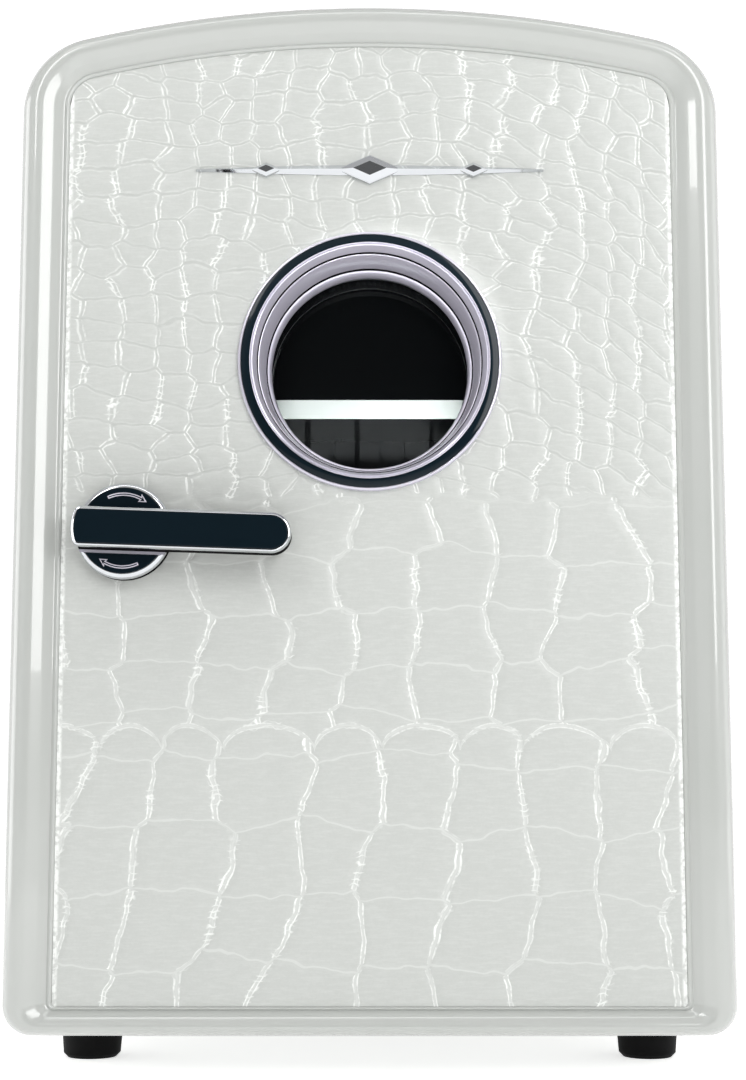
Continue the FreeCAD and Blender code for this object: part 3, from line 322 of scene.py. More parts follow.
    def join(self, tree: bpy.types.NodeTree, above: dict[str, Any], under: dict[str, Any], gap: Any,
             strength: float, highlight_share: float) -> dict[str, Any]:
        """Joins two zones along a crease where the gap is zero.

        Args:
            tree: The tree.
            above: The zone where the gap is positive.
            under: The zone where it is negative.
            gap: Signed distance from the joint, in millimetres.
            strength: How deep the joint's own crease is.
            highlight_share: How far it counts as an upright crease, which sets how strong its painted highlight is
                and how weak its painted shade.

        Returns:
            The joined sockets.
        """
        side = op(tree, "GREATER_THAN", gap, 0.0)
        mixed = {key: mix(tree, side, under[key], above[key]) for key in
                 ("distance", "strength", "upright")}
        seam = op(tree, "ABSOLUTE", gap)
        on_seam = op(tree, "LESS_THAN", seam, mixed["distance"])
        return {
            "distance": op(tree, "MINIMUM", seam, mixed["distance"]),
            "strength": mix(tree, on_seam, mixed["strength"], strength),
            "upright": mix(tree, on_seam, mixed["upright"], highlight_share),
        }

    def swell(self, tree: bpy.types.NodeTree, field_at: dict[str, Any], width: Any) -> tuple[Any, Any]:
        """Adds the two shapes that the press leaves.

        Args:
            tree: The tree.
            field_at: What lay() returned.
            width: The groove's half width in millimetres, a number or a socket.

        Returns:
            How full the scale's pillow is, and how deep in a groove the point is, both 0 to 1.
        """
        dip = ramp(tree, field_at["distance"], 0.0, 3.0, 1.0, 0.0, smooth=True)
        dip = op(tree, "MULTIPLY", dip, field_at["strength"])
        pillow = op(tree, "SUBTRACT", 1.0, dip)
        ratio = op(tree, "DIVIDE", field_at["distance"], width)
        square = op(tree, "POWER", ratio, 2.0)
        bell = op(tree, "MULTIPLY", square, -1.0)
        bell = op(tree, "EXPONENT", bell)
        groove = op(tree, "MULTIPLY", bell, field_at["strength"])
        return pillow, groove


@dataclass(frozen=True)
class CrocodilePrint:
    """Coated split leather with a crocodile print, pale grey with a soft sheen.

    Near white along the creases, in double lines, on short wrinkles across the upright ones like the
    rungs of a ladder, and on the side edges, is painted highlight; grey in the crease floors is painted shade.
    """

    name: str = "crocodile_print_leather"
    colour: str = "c0c2bf"
    shade: str = "b8bbb7"
    # painted highlight: the pale colour where light catches the creases, the rungs and the side edges
    painted_highlight: str = "ebedea"
    # painted shade: the grey in the floor of the creases
    crease_shade: str = "a3a7a3"
    pattern: HidePattern = field(default_factory=HidePattern)

    def build(self) -> bpy.types.Material:
        """Makes the material from the same field that presses the shape."""
        made = bpy.data.materials.new(self.name)
        made.use_nodes = True
        tree = made.node_tree
        tree.nodes.clear()
        where = add(tree, "ShaderNodeTexCoord").outputs["Object"]
        hide = self.pattern.lay(tree, where)
        mm = add(tree, "ShaderNodeVectorMath", {0: where, "Scale": 1000.0}, operation="SCALE")
        patchy = add(tree, "ShaderNodeTexNoise", {"Vector": mm, "Scale": 0.09, "Detail": 2.0})
        broken = ramp(tree, patchy, 0.36, 0.56)
        # painted highlight: pale double lines beside each crease, where light catches the groove's shoulders
        line = self.band(tree, hide["distance"], 0.52, 0.13)
        line = op(tree, "MULTIPLY", line, hide["strength"])
        often = ramp(tree, broken, 0.0, 1.0, 0.5, 1.0)
        line = op(tree, "MULTIPLY", line, often)
        # the flank's level creases take more of the painted highlight higher up
        honeycomb = op(tree, "MULTIPLY_ADD", hide["x"], 0.5, hide["z"])
        glint_height = op(tree, "MULTIPLY_ADD", patchy, 90.0, honeycomb)
        least = ramp(tree, glint_height, 225.0, 275.0, 0.3, 0.7)
        highlight_share = ramp(tree, hide["upright"], 0.0, 1.0, least, 1.0)
        line = op(tree, "MULTIPLY", line, highlight_share)
        bead = add(tree, "ShaderNodeTexNoise", {"Vector": mm, "Scale": 0.8, "Detail": 2.0})
        bead = ramp(tree, bead, 0.36, 0.56, 0.25)
        line = op(tree, "MULTIPLY", line, bead)
        # painted shade: grey in the crease floors, strongest on level creases and mostly on the flank
        core = self.band(tree, hide["distance"], 0.0, 0.16)
        level = op(tree, "SUBTRACT", 1.0, hide["upright"])
        level = op(tree, "MULTIPLY_ADD", level, 0.22, 0.08)
        core = op(tree, "MULTIPLY", core, level)
        on_flank = ramp(tree, hide["z"], 146.0, 156.0, 0.1)
        core = op(tree, "MULTIPLY", core, on_flank)
        # a faint painted highlight along the belly's crease floors
        faint = self.band(tree, hide["distance"], 0.0, 0.16)
        faint = op(tree, "MULTIPLY", faint, 0.3)
        on_belly = op(tree, "SUBTRACT", 1.0, on_flank)
        faint = op(tree, "MULTIPLY", faint, on_belly)
        line = op(tree, "MAXIMUM", line, faint)
        # painted highlight on the rungs across the upright creases
        rungs = self.rungs(tree, mm, hide)
        wrinkle = self.wrinkles(tree, mm)
        bright = op(tree, "MAXIMUM", line, rungs)
        bright = op(tree, "MAXIMUM", bright, wrinkle, clamp=True)
        # painted highlight along the panel's two side edges, where the leather's edge catches the light
        side = op(tree, "ABSOLUTE", hide["x"])
        edge_highlight = ramp(tree, side, self.pattern.panel_half_mm - 1.5, self.pattern.panel_half_mm - 0.8)
        edge_highlight = op(tree, "MULTIPLY", edge_highlight, bead)
        bright = op(tree, "MAXIMUM", bright, edge_highlight)
        pore = add(tree, "ShaderNodeTexNoise", {"Vector": mm, "Scale": 1.6, "Detail": 3.0})
        tone = add(tree, "ShaderNodeMix", {0: pore, 6: linear(self.colour), 7: linear(self.shade)}, data_type="RGBA")
        tone = add(tree, "ShaderNodeMix", {0: core, 6: tone.outputs[2], 7: linear(self.crease_shade)}, data_type="RGBA")
        # the painted highlight's colour goes wherever the marks above are bright
        tone = add(tree, "ShaderNodeMix", {0: bright, 6: tone.outputs[2], 7: linear(self.painted_highlight)}, data_type="RGBA")
        rise = op(tree, "MULTIPLY", bright, 0.5)
        rise = op(tree, "MULTIPLY_ADD", pore, 0.16, rise)
        rise = op(tree, "SUBTRACT", rise, core)
        relief = add(tree, "ShaderNodeBump", {"Strength": 0.55, "Distance": 0.12 * MM, "Height": rise})
        gloss = ramp(tree, pore, 0.0, 1.0, 0.34, 0.46)
        body = add(tree, "ShaderNodeBsdfPrincipled", {
            "Base Color": tone.outputs[2], "Roughness": gloss, "Normal": relief,
            "Sheen Weight": 0.08, "Coat Weight": 0.12, "Coat Roughness": 0.25})
        add(tree, "ShaderNodeOutputMaterial", {"Surface": body})
        return made

    def band(self, tree: bpy.types.NodeTree, distance: Any, centre: float, half: float) -> Any:
        """Adds a soft line that runs beside the creases.

        Args:
            tree: The shader tree.
            distance: Distance to the crease in millimetres.
            centre: How far from the crease the line runs.
            half: The line's half width.

        Returns:
            The node that gives 1 on the line and 0 away from it.
        """
        off = op(tree, "SUBTRACT", distance, centre)
        off = op(tree, "ABSOLUTE", off)
        return ramp(tree, off, half, half * 2.2, 1.0, 0.0, smooth=True)

    def rungs(self, tree: bpy.types.NodeTree, mm: Any, hide: dict[str, Any]) -> Any:
        """Adds a painted highlight on the short wrinkles across the upright creases.

        Args:
            tree: The shader tree.
            mm: The place in millimetres.
            hide: The hide's field.

        Returns:
            The node that gives 1 on a rung.
        """
        shiver = add(tree, "ShaderNodeTexNoise", {"Vector": mm, "Scale": 0.35, "Detail": 1.0})
        bent = op(tree, "MULTIPLY_ADD", shiver, 3.6, hide["z"])
        turn = op(tree, "MULTIPLY", bent, 2 * math.pi / self.pattern.ladder_mm)
        wave = op(tree, "SINE", turn)
        rung = ramp(tree, wave, 0.55, 0.95)
        near = ramp(tree, hide["distance"], 0.7, 1.5, 1.0, 0.0)
        some = add(tree, "ShaderNodeTexNoise", {"Vector": mm, "Scale": 0.07, "Detail": 2.0, "Roughness": 0.7})
        some = ramp(tree, some, 0.47, 0.6, 0.0, 0.85)
        out = op(tree, "MULTIPLY", rung, near)
        out = op(tree, "MULTIPLY", out, some)
        return op(tree, "MULTIPLY", out, hide["upright"])

    def wrinkles(self, tree: bpy.types.NodeTree, mm: Any) -> Any:
        """Adds faint broken wrinkles that run across the whole hide.

        Args:
            tree: The shader tree.
            mm: The place in millimetres.

        Returns:
            The node that gives up to 0.18 on a wrinkle.
        """
        along = add(tree, "ShaderNodeMapping", {"Vector": mm, "Scale": (0.16, 1.0, 1.0)})
        fine = add(tree, "ShaderNodeTexNoise", {"Vector": along, "Scale": 1.5, "Detail": 4.0, "Roughness": 0.7})
        return ramp(tree, fine, 0.45, 0.8, 0.0, 0.18)


FINISHES: dict[str, Any] = {
    # injection-moulded ABS, polished tool: an even skin with a wet gloss
    "shell_white": Finish("polished_abs_white", "b7b9b6", "b2b5b1", roughness=0.22, polish=0.04, grain_mm=2.0,
                          depth_mm=0.003, coat=1.0, coat_roughness=0.03),
    "leather": CrocodilePrint(),
    # bright chrome plate on moulded ABS: mirror with a trace of orange peel
    "chrome": Finish("bright_chrome_plate", "d4d6d9", "c9ccd0", metallic=1.0, roughness=0.07, polish=0.03,
                     grain_mm=1.5, depth_mm=0.003),
    # black chrome: a glossy mirror whose near-black blue-green colour is a painted reflection of a dark backdrop in
    # flat chrome faces
    "black_chrome": Finish("black_chrome_dark_reflection", "0a151b", "0d1a22", roughness=0.07, polish=0.03,
                           grain_mm=1.5, depth_mm=0.003, specular=0.22),
    # black polystyrene, vacuum formed: glossy with soft waves
    "liner_black": Finish("black_polystyrene", "0b0b0d", "121215", roughness=0.22, polish=0.08, grain_mm=3.0,
                          depth_mm=0.01),
    "clear_glass": ClearGlass(),
    # moulded nitrile rubber: dull, a little dusty
    "rubber_black": Finish("nitrile_rubber", "060607", "0b0b0c", roughness=0.62, polish=0.12, grain_mm=0.6,
                           depth_mm=0.03, specular=0.15),
    # grey silicone seal: dull and smooth
    "seal_rubber": Finish("silicone_seal", "9b9c9a", "8f908f", roughness=0.6, grain_mm=0.8, depth_mm=0.02),
    # polyurethane foam: a cream open skin
    "foam": Finish("polyurethane_foam", "e6dfc4", "d8cfae", roughness=0.9, grain_mm=1.0, depth_mm=0.25),
    # extruded aluminium: fine lines along the extrusion
    "aluminium": Finish("extruded_aluminium", "c2c4c6", "b4b7ba", metallic=1.0, roughness=0.32, polish=0.12,
                        grain_mm=0.35, depth_mm=0.01, grain=Grain.EXTRUDED),
    # extruded aluminium coloured near black as painted shade, since the cabinet's inside is in shade: so the fins do
    # not show through the window
    "black_anodised": Finish("aluminium_inside_shade", "0e0e10", "151518", metallic=0.3, roughness=0.45,
                             polish=0.1, grain_mm=0.35, depth_mm=0.01, grain=Grain.EXTRUDED),
    # zinc-plated steel: bright, slightly mottled
    "steel": Finish("zinc_plated_steel", "b9bcc0", "a7abb0", metallic=1.0, roughness=0.28, polish=0.14,
                    grain_mm=0.5, depth_mm=0.008, blotch_mm=4.0, grain=Grain.BRUSHED),
    # alumina ceramic: matte white, chalky
    "ceramic_white": Finish("alumina_ceramic", "e8e8e4", "dededa", roughness=0.7, grain_mm=0.3, depth_mm=0.02),
    # glass-epoxy board under green solder mask
    "board_green": Finish("solder_mask_green", "1d5a34", "17482a", roughness=0.3, grain_mm=0.8, depth_mm=0.01),
    # epoxy-dipped components: dark and satin
    "component_dark": Finish("epoxy_dark", "202226", "2b2e33", roughness=0.45, grain_mm=0.8, depth_mm=0.02),
    # grey fibre board: matte and flecked
    "backing_board": Finish("fibre_board", "7b7b78", "6a6a67", roughness=0.8, grain_mm=0.7, depth_mm=0.05),
    # black ABS painted dull and dark as shade: it stands for the shade in the latch's gaps, under the lever and in
    # the funnel's valleys
    "matte_black": Finish("gap_shade_black_abs", "060607", "08080a", roughness=0.85, grain_mm=0.5, depth_mm=0.01,
                          specular=0.05),
    # satin silver paint over moulding, as on the window's funnel: cool with a lilac cast
    "funnel_silver": Finish("bright_silver_lacquer", "d9d6e2", "cbc8d6", metallic=0.45, roughness=0.14, polish=0.06,
                            grain_mm=0.4, depth_mm=0.003),
}


def arc(cx: float, cz: float, radius: float, start: float, end: float, count: int) -> Flat:
    """Points along an arc, anticlockwise in degrees, both ends included."""
    turns = [math.radians(start + (end - start) * i / count) for i in range(count + 1)]
    return [(cx + radius * math.cos(t), cz + radius * math.sin(t)) for t in turns]


@dataclass(frozen=True)
class Arched:
    """An upright outline with rounded corners and an arched top, in metres."""

    half: float
    base: float
    top: float
    arch: float
    corner: float
    foot: float

    def grown(self, out: float) -> "Arched":
        """The outline that far outside this one."""
        return Arched(self.half + out, self.base - out, self.top + out, self.arch + out,
                      max(self.corner + out, 0.0006), max(self.foot + out, 0.0004))

    def crown(self, x: float) -> float:
        """How high the outline's top is above a place across."""
        centre = self.top - self.arch
        knee_x, knee_z = self.knee()
        if abs(x) <= knee_x * self.arch / (self.arch - self.corner):
            return centre + math.sqrt(self.arch**2 - x**2)
        return knee_z + math.sqrt(max(self.corner**2 - (abs(x) - knee_x) ** 2, 0.0))

    def knee(self) -> tuple[float, float]:
        """The centre of the right upper corner."""
        x = self.half - self.corner
        return x, self.top - self.arch + math.sqrt((self.arch - self.corner) ** 2 - x**2)

    def points(self) -> Flat:
        """The outline, anticlockwise from the lower left, always with the same count of points."""
        x, z = self.knee()
        lean = math.degrees(math.atan2(z - (self.top - self.arch), x))
        wide, low = self.half - self.foot, self.base + self.foot
        side = [(self.half, low + (z - low) * i / 12) for i in range(1, 12)]
        floor = [(wide * (i / 6 - 1), self.base) for i in range(1, 12)]
        run = floor + arc(wide, low, self.foot, -90, 0, 10) + side
        run += arc(x, z, self.corner, 0, lean, 18)
        run += arc(0, self.top - self.arch, self.arch, lean, 180 - lean, 48)[1:-1]
        run += arc(-x, z, self.corner, 180 - lean, 180, 18)
        run += [(-px, pz) for px, pz in reversed(side)]
        return run + arc(-wide, low, self.foot, 180, 270, 10)


class Workshop:
    """Turns outlines into finished pieces in the frame."""

    def __init__(self) -> None:
        """Makes each finish once."""
        self.materials = {slot: finish.build() for slot, finish in FINISHES.items()}

    def piece(self, name: str, mesh: bmesh.types.BMesh | bpy.types.Mesh, slot: str, body: str,
              replaces: Iterable[str] = (), finish: str = "", sharp_deg: float = 32.0) -> bpy.types.Object:
        """Makes a piece of a mesh and sets it on its body.

        Args:
            name: The piece's name.
            mesh: Its mesh, in place.
            slot: The record's material slot.
            body: The body that it rides on.
            replaces: The CAD nodes that it stands for.
            finish: Its finish, where that isn't the slot's own.
            sharp_deg: Edges that turn more than this stay sharp.

        Returns:
            The object.
        """
        if isinstance(mesh, bmesh.types.BMesh):
            plain = bpy.data.meshes.new(name)
            mesh.to_mesh(plain)
            mesh.free()
            mesh = plain
        mesh.materials.clear()
        mesh.materials.append(self.materials[finish or slot])
        mesh.shade_smooth()
        mesh.set_sharp_from_angle(angle=math.radians(sharp_deg))
        made = bpy.data.objects.new(name, mesh)
        bpy.context.scene.collection.objects.link(made)
        weigh = made.modifiers.new("weighted_normals", "WEIGHTED_NORMAL")
        weigh.keep_sharp = True
        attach(made, body)
        if replaces:
            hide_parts(*replaces)
        log.info("%s: %d faces, on %s", name, len(mesh.polygons), body)
        return made

    def loft(self, rings: Sequence[Sequence[Vector]], closed: bool = True, cap: bool = False) -> bmesh.types.BMesh:
        """Joins rings of points into one skin.

        Args:
            rings: Rings with the same count of points.
            closed: Whether the last ring meets the first.
            cap: Whether flat faces close both ends.

        Returns:
            The mesh, its faces outwards.
        """
        mesh = bmesh.new()
        rows = [[mesh.verts.new(p) for p in ring] for ring in rings]
        spans = list(zip(rows, rows[1:] + rows[:1])) if closed else list(zip(rows, rows[1:]))
        for here, there in spans:
            for i, low in enumerate(here):
                after = (i + 1) % len(here)
                mesh.faces.new((low, here[after], there[after], there[i]))
        if cap:
            mesh.faces.new(rows[0])
            mesh.faces.new(rows[-1])
        bmesh.ops.remove_doubles(mesh, verts=mesh.verts, dist=1e-7)
        bmesh.ops.recalc_face_normals(mesh, faces=mesh.faces)
        return mesh

    def turned(self, profile: Flat, centre: tuple[float, float], steps: int = 160) -> bmesh.types.BMesh:
        """Turns a closed profile of (radius, y) about a line along Y.

        Args:
            profile: The profile's points.
            centre: Where the line is, across and up.
            steps: How many faces go round.

        Returns:
            The mesh.
        """
        turns = [2 * math.pi * i / steps for i in range(steps)]
        rings = [[Vector((centre[0] + r * math.cos(t), y, centre[1] + r * math.sin(t))) for t in turns]
                 for r, y in profile]
        return self.loft(rings)

    def plate(self, layers: Sequence[tuple[Flat, float]]) -> bmesh.types.BMesh:
        """Stacks outlines at depths into one closed plate.

        Args:
            layers: Outlines with the same count of points, each with its y, back to front.

        Returns:
            The mesh.
        """
        rings = [[Vector((x, y, z)) for x, z in outline] for outline, y in layers]
        return self.loft(rings, closed=False, cap=True)

    def cut(self, mesh: bmesh.types.BMesh, cutter: bmesh.types.BMesh) -> bpy.types.Mesh:
        """Takes one closed mesh out of another.

        Args:
            mesh: What is cut.
            cutter: What is taken out.

        Returns:
            The result, as a plain mesh.
        """
        solids = []
        for name, shape in (("blank", mesh), ("cutter", cutter)):
            bmesh.ops.recalc_face_normals(shape, faces=shape.faces)
            plain = bpy.data.meshes.new(name)
            shape.to_mesh(plain)
            shape.free()
            solids.append(bpy.data.objects.new(name, plain))
            bpy.context.scene.collection.objects.link(solids[-1])
        blank, tool = solids
        saw = blank.modifiers.new("saw", "BOOLEAN")
        saw.operation, saw.object, saw.solver = "DIFFERENCE", tool, "EXACT"
        bpy.context.view_layer.update()
        made = bpy.data.meshes.new_from_object(blank.evaluated_get(bpy.context.evaluated_depsgraph_get()))
        for solid in solids:
            bpy.data.objects.remove(solid)
        return made

    def carry_over(self, node: str, slot: str, body: str, finish: str) -> bpy.types.Object:
        """Makes a welded, smooth-shaded copy of a CAD node, which it stands for."""
        mesh = bmesh.new()
        mesh.from_mesh(frame["nodes"][node].data)
        bmesh.ops.remove_doubles(mesh, verts=mesh.verts, dist=1e-7)
        return self.piece(f"{node}_skin", mesh, slot, body, [node], finish)


def turned_about(points: Flat, centre: tuple[float, float], clockwise_deg: float) -> Flat:
    """Turns points clockwise as seen from the front and moves them from the origin to a centre."""
    c, s = math.cos(math.radians(clockwise_deg)), math.sin(math.radians(clockwise_deg))
    return [(centre[0] + x * c + z * s, centre[1] - x * s + z * c) for x, z in points]


@dataclass
class DoorFrame:
    """The door's glossy moulded surround: a convex rail with an inner bevel and a fine bead."""

    shop: Workshop
    arch: float = 343 * MM
    corner: float = 22 * MM
    foot: float = 8 * MM
    panel_arch: float = 331 * MM
    panel_corner: float = 8.5 * MM
    panel_foot: float = 1.2 * MM
    rail: Flat = field(default_factory=lambda: [
        (0.0, 3.4), (0.0, 2.8), (0.015, 2.5), (0.045, 2.35), (0.075, 2.5), (0.095, 2.8), (0.11, 2.93), (0.13, 2.85),
        (0.16, 2.6), (0.26, 1.65), (0.29, 1.4), (0.32, 1.2), (0.38, 0.85), (0.45, 0.48), (0.5, 0.24), (0.54, 0.1),
        (0.59, 0.01), (0.64, 0.0), (0.69, 0.12), (0.745, 0.42), (0.8, 0.95), (0.85, 1.65), (0.9, 2.65), (0.94, 3.75),
        (0.97, 5.0), (0.99, 6.5), (1.0, 8.0)])

    def outlines(self) -> tuple[Arched, Arched]:
        """The frame's outer outline and the panel's outline, from the CAD boxes."""
        low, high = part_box("door_frame")
        panel_low, panel_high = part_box("leather_panel")
        outer = Arched(high.x, low.z, high.z, self.arch, self.corner, self.foot)
        inner = Arched(panel_high.x, panel_low.z, panel_high.z, self.panel_arch, self.panel_corner, self.panel_foot)
        return outer, inner

    def build(self) -> None:
        """Sweeps the rail round the door and closes it over the skirt."""
        outer, inner = self.outlines()
        low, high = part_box("door_frame")
        outside, inside = outer.points(), inner.points()
        rings = []
        for share, drop in self.rail:
            ring = [(ix + (ox - ix) * share, iz + (oz - iz) * share)
                    for (ox, oz), (ix, iz) in zip(outside, inside)]
            rings.append((ring, low.y + drop * MM))
        back = high.y
        for inset, forward in ((0.0, 2.5), (0.35, 1.2), (1.1, 0.4), (2.5, 0.0), (3.0, 0.0)):
            rings.append((outer.grown(-inset * MM).points(), back - forward * MM))
        rings.append((outer.grown(-3 * MM).points(), low.y + 9.6 * MM))
        rings.append((inner.points(), low.y + 9.6 * MM))
        skin = self.shop.loft([[Vector((x, y, z)) for x, z in ring] for ring, y in rings])
        self.shop.piece("door_frame_moulding", self.notched(skin), "shell_white", "door", ["door_frame"],
                        sharp_deg=40)

    def notched(self, skin: bmesh.types.BMesh) -> bpy.types.Mesh:
        """Cuts the skirt round each hinge knuckle.

        Args:
            skin: The frame's skin.

        Returns:
            The mesh with its notches.
        """
        _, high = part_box("door_frame")
        cutter = bmesh.new()
        for name in ("hinge_bracket_lower", "hinge_bracket_upper"):
            near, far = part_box(name)
            box = bmesh.ops.create_cube(cutter, size=1.0)["verts"]
            left, right = near.x - 0.6 * MM, high.x + 5 * MM
            front, back = near.y - 2.7 * MM, high.y + 5 * MM
            low, top = near.z - 0.4 * MM, far.z + 0.4 * MM
            for vert in box:
                vert.co = (right if vert.co.x > 0 else left, back if vert.co.y > 0 else front,
                           top if vert.co.z > 0 else low)
        return self.shop.cut(skin, cutter)


@dataclass
class LeatherPanel:
    """The clad panel: a fine grid that Geometry Nodes press into crocodile scales."""

    shop: Workshop
    frame_part: DoorFrame
    pitch: float = 0.68 * MM
    pillow_mm: float = 0.3
    groove_mm: float = 0.26
    groove_half_mm: float = 0.55
    edge_mm: float = 2.2
    skin: float = 3.0 * MM

    def build(self) -> None:
        """Lays the sheet, presses it and turns it to a plain mesh."""
        low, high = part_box("leather_panel")
        _, outline = self.frame_part.outlines()
        sheet = bpy.data.objects.new("leather_blank", self.blank(outline.grown(-0.05 * MM), low.y))
        bpy.context.scene.collection.objects.link(sheet)
        press = sheet.modifiers.new("press", "NODES")
        press.node_group = self.press(outline)
        for item in press.node_group.interface.items_tree:
            if item.in_out == "INPUT" and item.name in self.settings():
                press[item.identifier] = self.settings()[item.name]
        bpy.context.view_layer.update()
        shown = sheet.evaluated_get(bpy.context.evaluated_depsgraph_get())
        pressed = bpy.data.meshes.new_from_object(shown)
        bpy.data.objects.remove(sheet)
        self.shop.piece("leather_panel_hide", pressed, "leather", "door", ["leather_panel"], sharp_deg=60)

    def settings(self) -> dict[str, float]:
        """The press's named inputs."""
        return {"Pillow": self.pillow_mm * MM, "Groove": self.groove_mm * MM, "Groove width": self.groove_half_mm,
                "Tuck": self.edge_mm}

    def blank(self, outline: Arched, front: float) -> bpy.types.Mesh:
        """Lays a flat sheet inside the outline with a hole for the window.

        Args:
            outline: The sheet's edge.
            front: The y of its face.

        Returns:
            The mesh, with its edges turned back.
        """
        bezel_low, bezel_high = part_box("window_bezel")
        hole = Vector(((bezel_low.x + bezel_high.x) / 2, (bezel_low.z + bezel_high.z) / 2))
        hole_radius = (bezel_high.x - bezel_low.x) / 2 - 2 * MM
        across = round(2 * outline.half / self.pitch)
        up = round((outline.top - outline.base) / self.pitch)
        sheet = bmesh.new()
        grid = []
        for i in range(across + 1):
            x = -outline.half + 2 * outline.half * i / across
            crown = outline.crown(x)
            grid.append([sheet.verts.new((x, front, outline.base + (crown - outline.base) * j / up))
                         for j in range(up + 1)])
        for left, right in zip(grid, grid[1:]):
            for j in range(up):
                sheet.faces.new((left[j], right[j], right[j + 1], left[j + 1]))
        cut = [f for f in sheet.faces
               if (Vector((f.calc_center_median().x, f.calc_center_median().z)) - hole).length < hole_radius]
        bmesh.ops.delete(sheet, geom=cut, context="FACES")
        rim = [e for e in sheet.edges if e.is_boundary]
        turned = bmesh.ops.extrude_edge_only(sheet, edges=rim)
        for vert in (g for g in turned["geom"] if isinstance(g, bmesh.types.BMVert)):
            vert.co.y += self.skin
        bmesh.ops.recalc_face_normals(sheet, faces=sheet.faces)
        # deleting and extruding leave the faces in no fixed order, so they are put in one
        sheet.verts.index_update()
        sheet.faces.sort(key=lambda face: self.rank([vert.index for vert in face.verts], len(sheet.verts)))
        made = bpy.data.meshes.new("leather_blank")
        sheet.to_mesh(made)
        sheet.free()
        return made

    @staticmethod
    def rank(corners: Sequence[int], count: int) -> float:
        """A number that no two faces share, from its three lowest corners among so many vertices."""
        first, second, third = sorted(corners)[:3]
        return (first * count + second) * count + third

    def press(self, outline: Arched) -> bpy.types.NodeTree:
        """Builds the tree that presses the scales.

        Args:
            outline: The panel's edge, where the leather tucks down under the bead.

        Returns:
            The Geometry Nodes tree.
        """
        tree = bpy.data.node_groups.new("hide_press", "GeometryNodeTree")
        tree.interface.new_socket("Geometry", in_out="INPUT", socket_type="NodeSocketGeometry")
        for name in self.settings():
            tree.interface.new_socket(name, in_out="INPUT", socket_type="NodeSocketFloat")
        tree.interface.new_socket("Geometry", in_out="OUTPUT", socket_type="NodeSocketGeometry")
        given = add(tree, "NodeGroupInput").outputs
        place = add(tree, "GeometryNodeInputPosition")
        pattern = FINISHES["leather"].pattern
        hide = pattern.lay(tree, place)
        pillow, groove = pattern.swell(tree, hide, given["Groove width"])
        rise = op(tree, "MULTIPLY", pillow, given["Pillow"])
        sink = op(tree, "MULTIPLY", groove, given["Groove"])
        rise = op(tree, "SUBTRACT", rise, sink)
        edge = self.edge_distance(tree, hide, outline)
        tuck = ramp(tree, edge, 0.0, given["Tuck"], 0.0, 1.0, smooth=True)
        rise = op(tree, "MULTIPLY", rise, tuck)
        forward = op(tree, "MULTIPLY", rise, -1.0)
        shift = add(tree, "ShaderNodeCombineXYZ", [0.0, forward, 0.0])
        moved = add(tree, "GeometryNodeSetPosition", {"Geometry": given["Geometry"], "Offset": shift})
        real = add(tree, "GeometryNodeRealizeInstances", [moved])
        done = add(tree, "GeometryNodeSetMaterial", {
            "Geometry": real, "Material": self.shop.materials["leather"]})
        add(tree, "NodeGroupOutput", [done])
        return tree

    def edge_distance(self, tree: bpy.types.NodeTree, hide: dict[str, Any], outline: Arched) -> Any:
        """Adds the distance to the panel's edge in millimetres, roughly."""
        side = op(tree, "ABSOLUTE", hide["x"])
        side = op(tree, "SUBTRACT", outline.half / MM, side)
        low = op(tree, "SUBTRACT", hide["z"], outline.base / MM)
        nearest = op(tree, "MINIMUM", side, low)
        square = op(tree, "MULTIPLY", hide["x"], hide["x"])
        drop = op(tree, "MULTIPLY_ADD", square, -0.5 / (outline.arch / MM), outline.top / MM)
        high = op(tree, "SUBTRACT", drop, hide["z"])
        return op(tree, "MINIMUM", nearest, high)


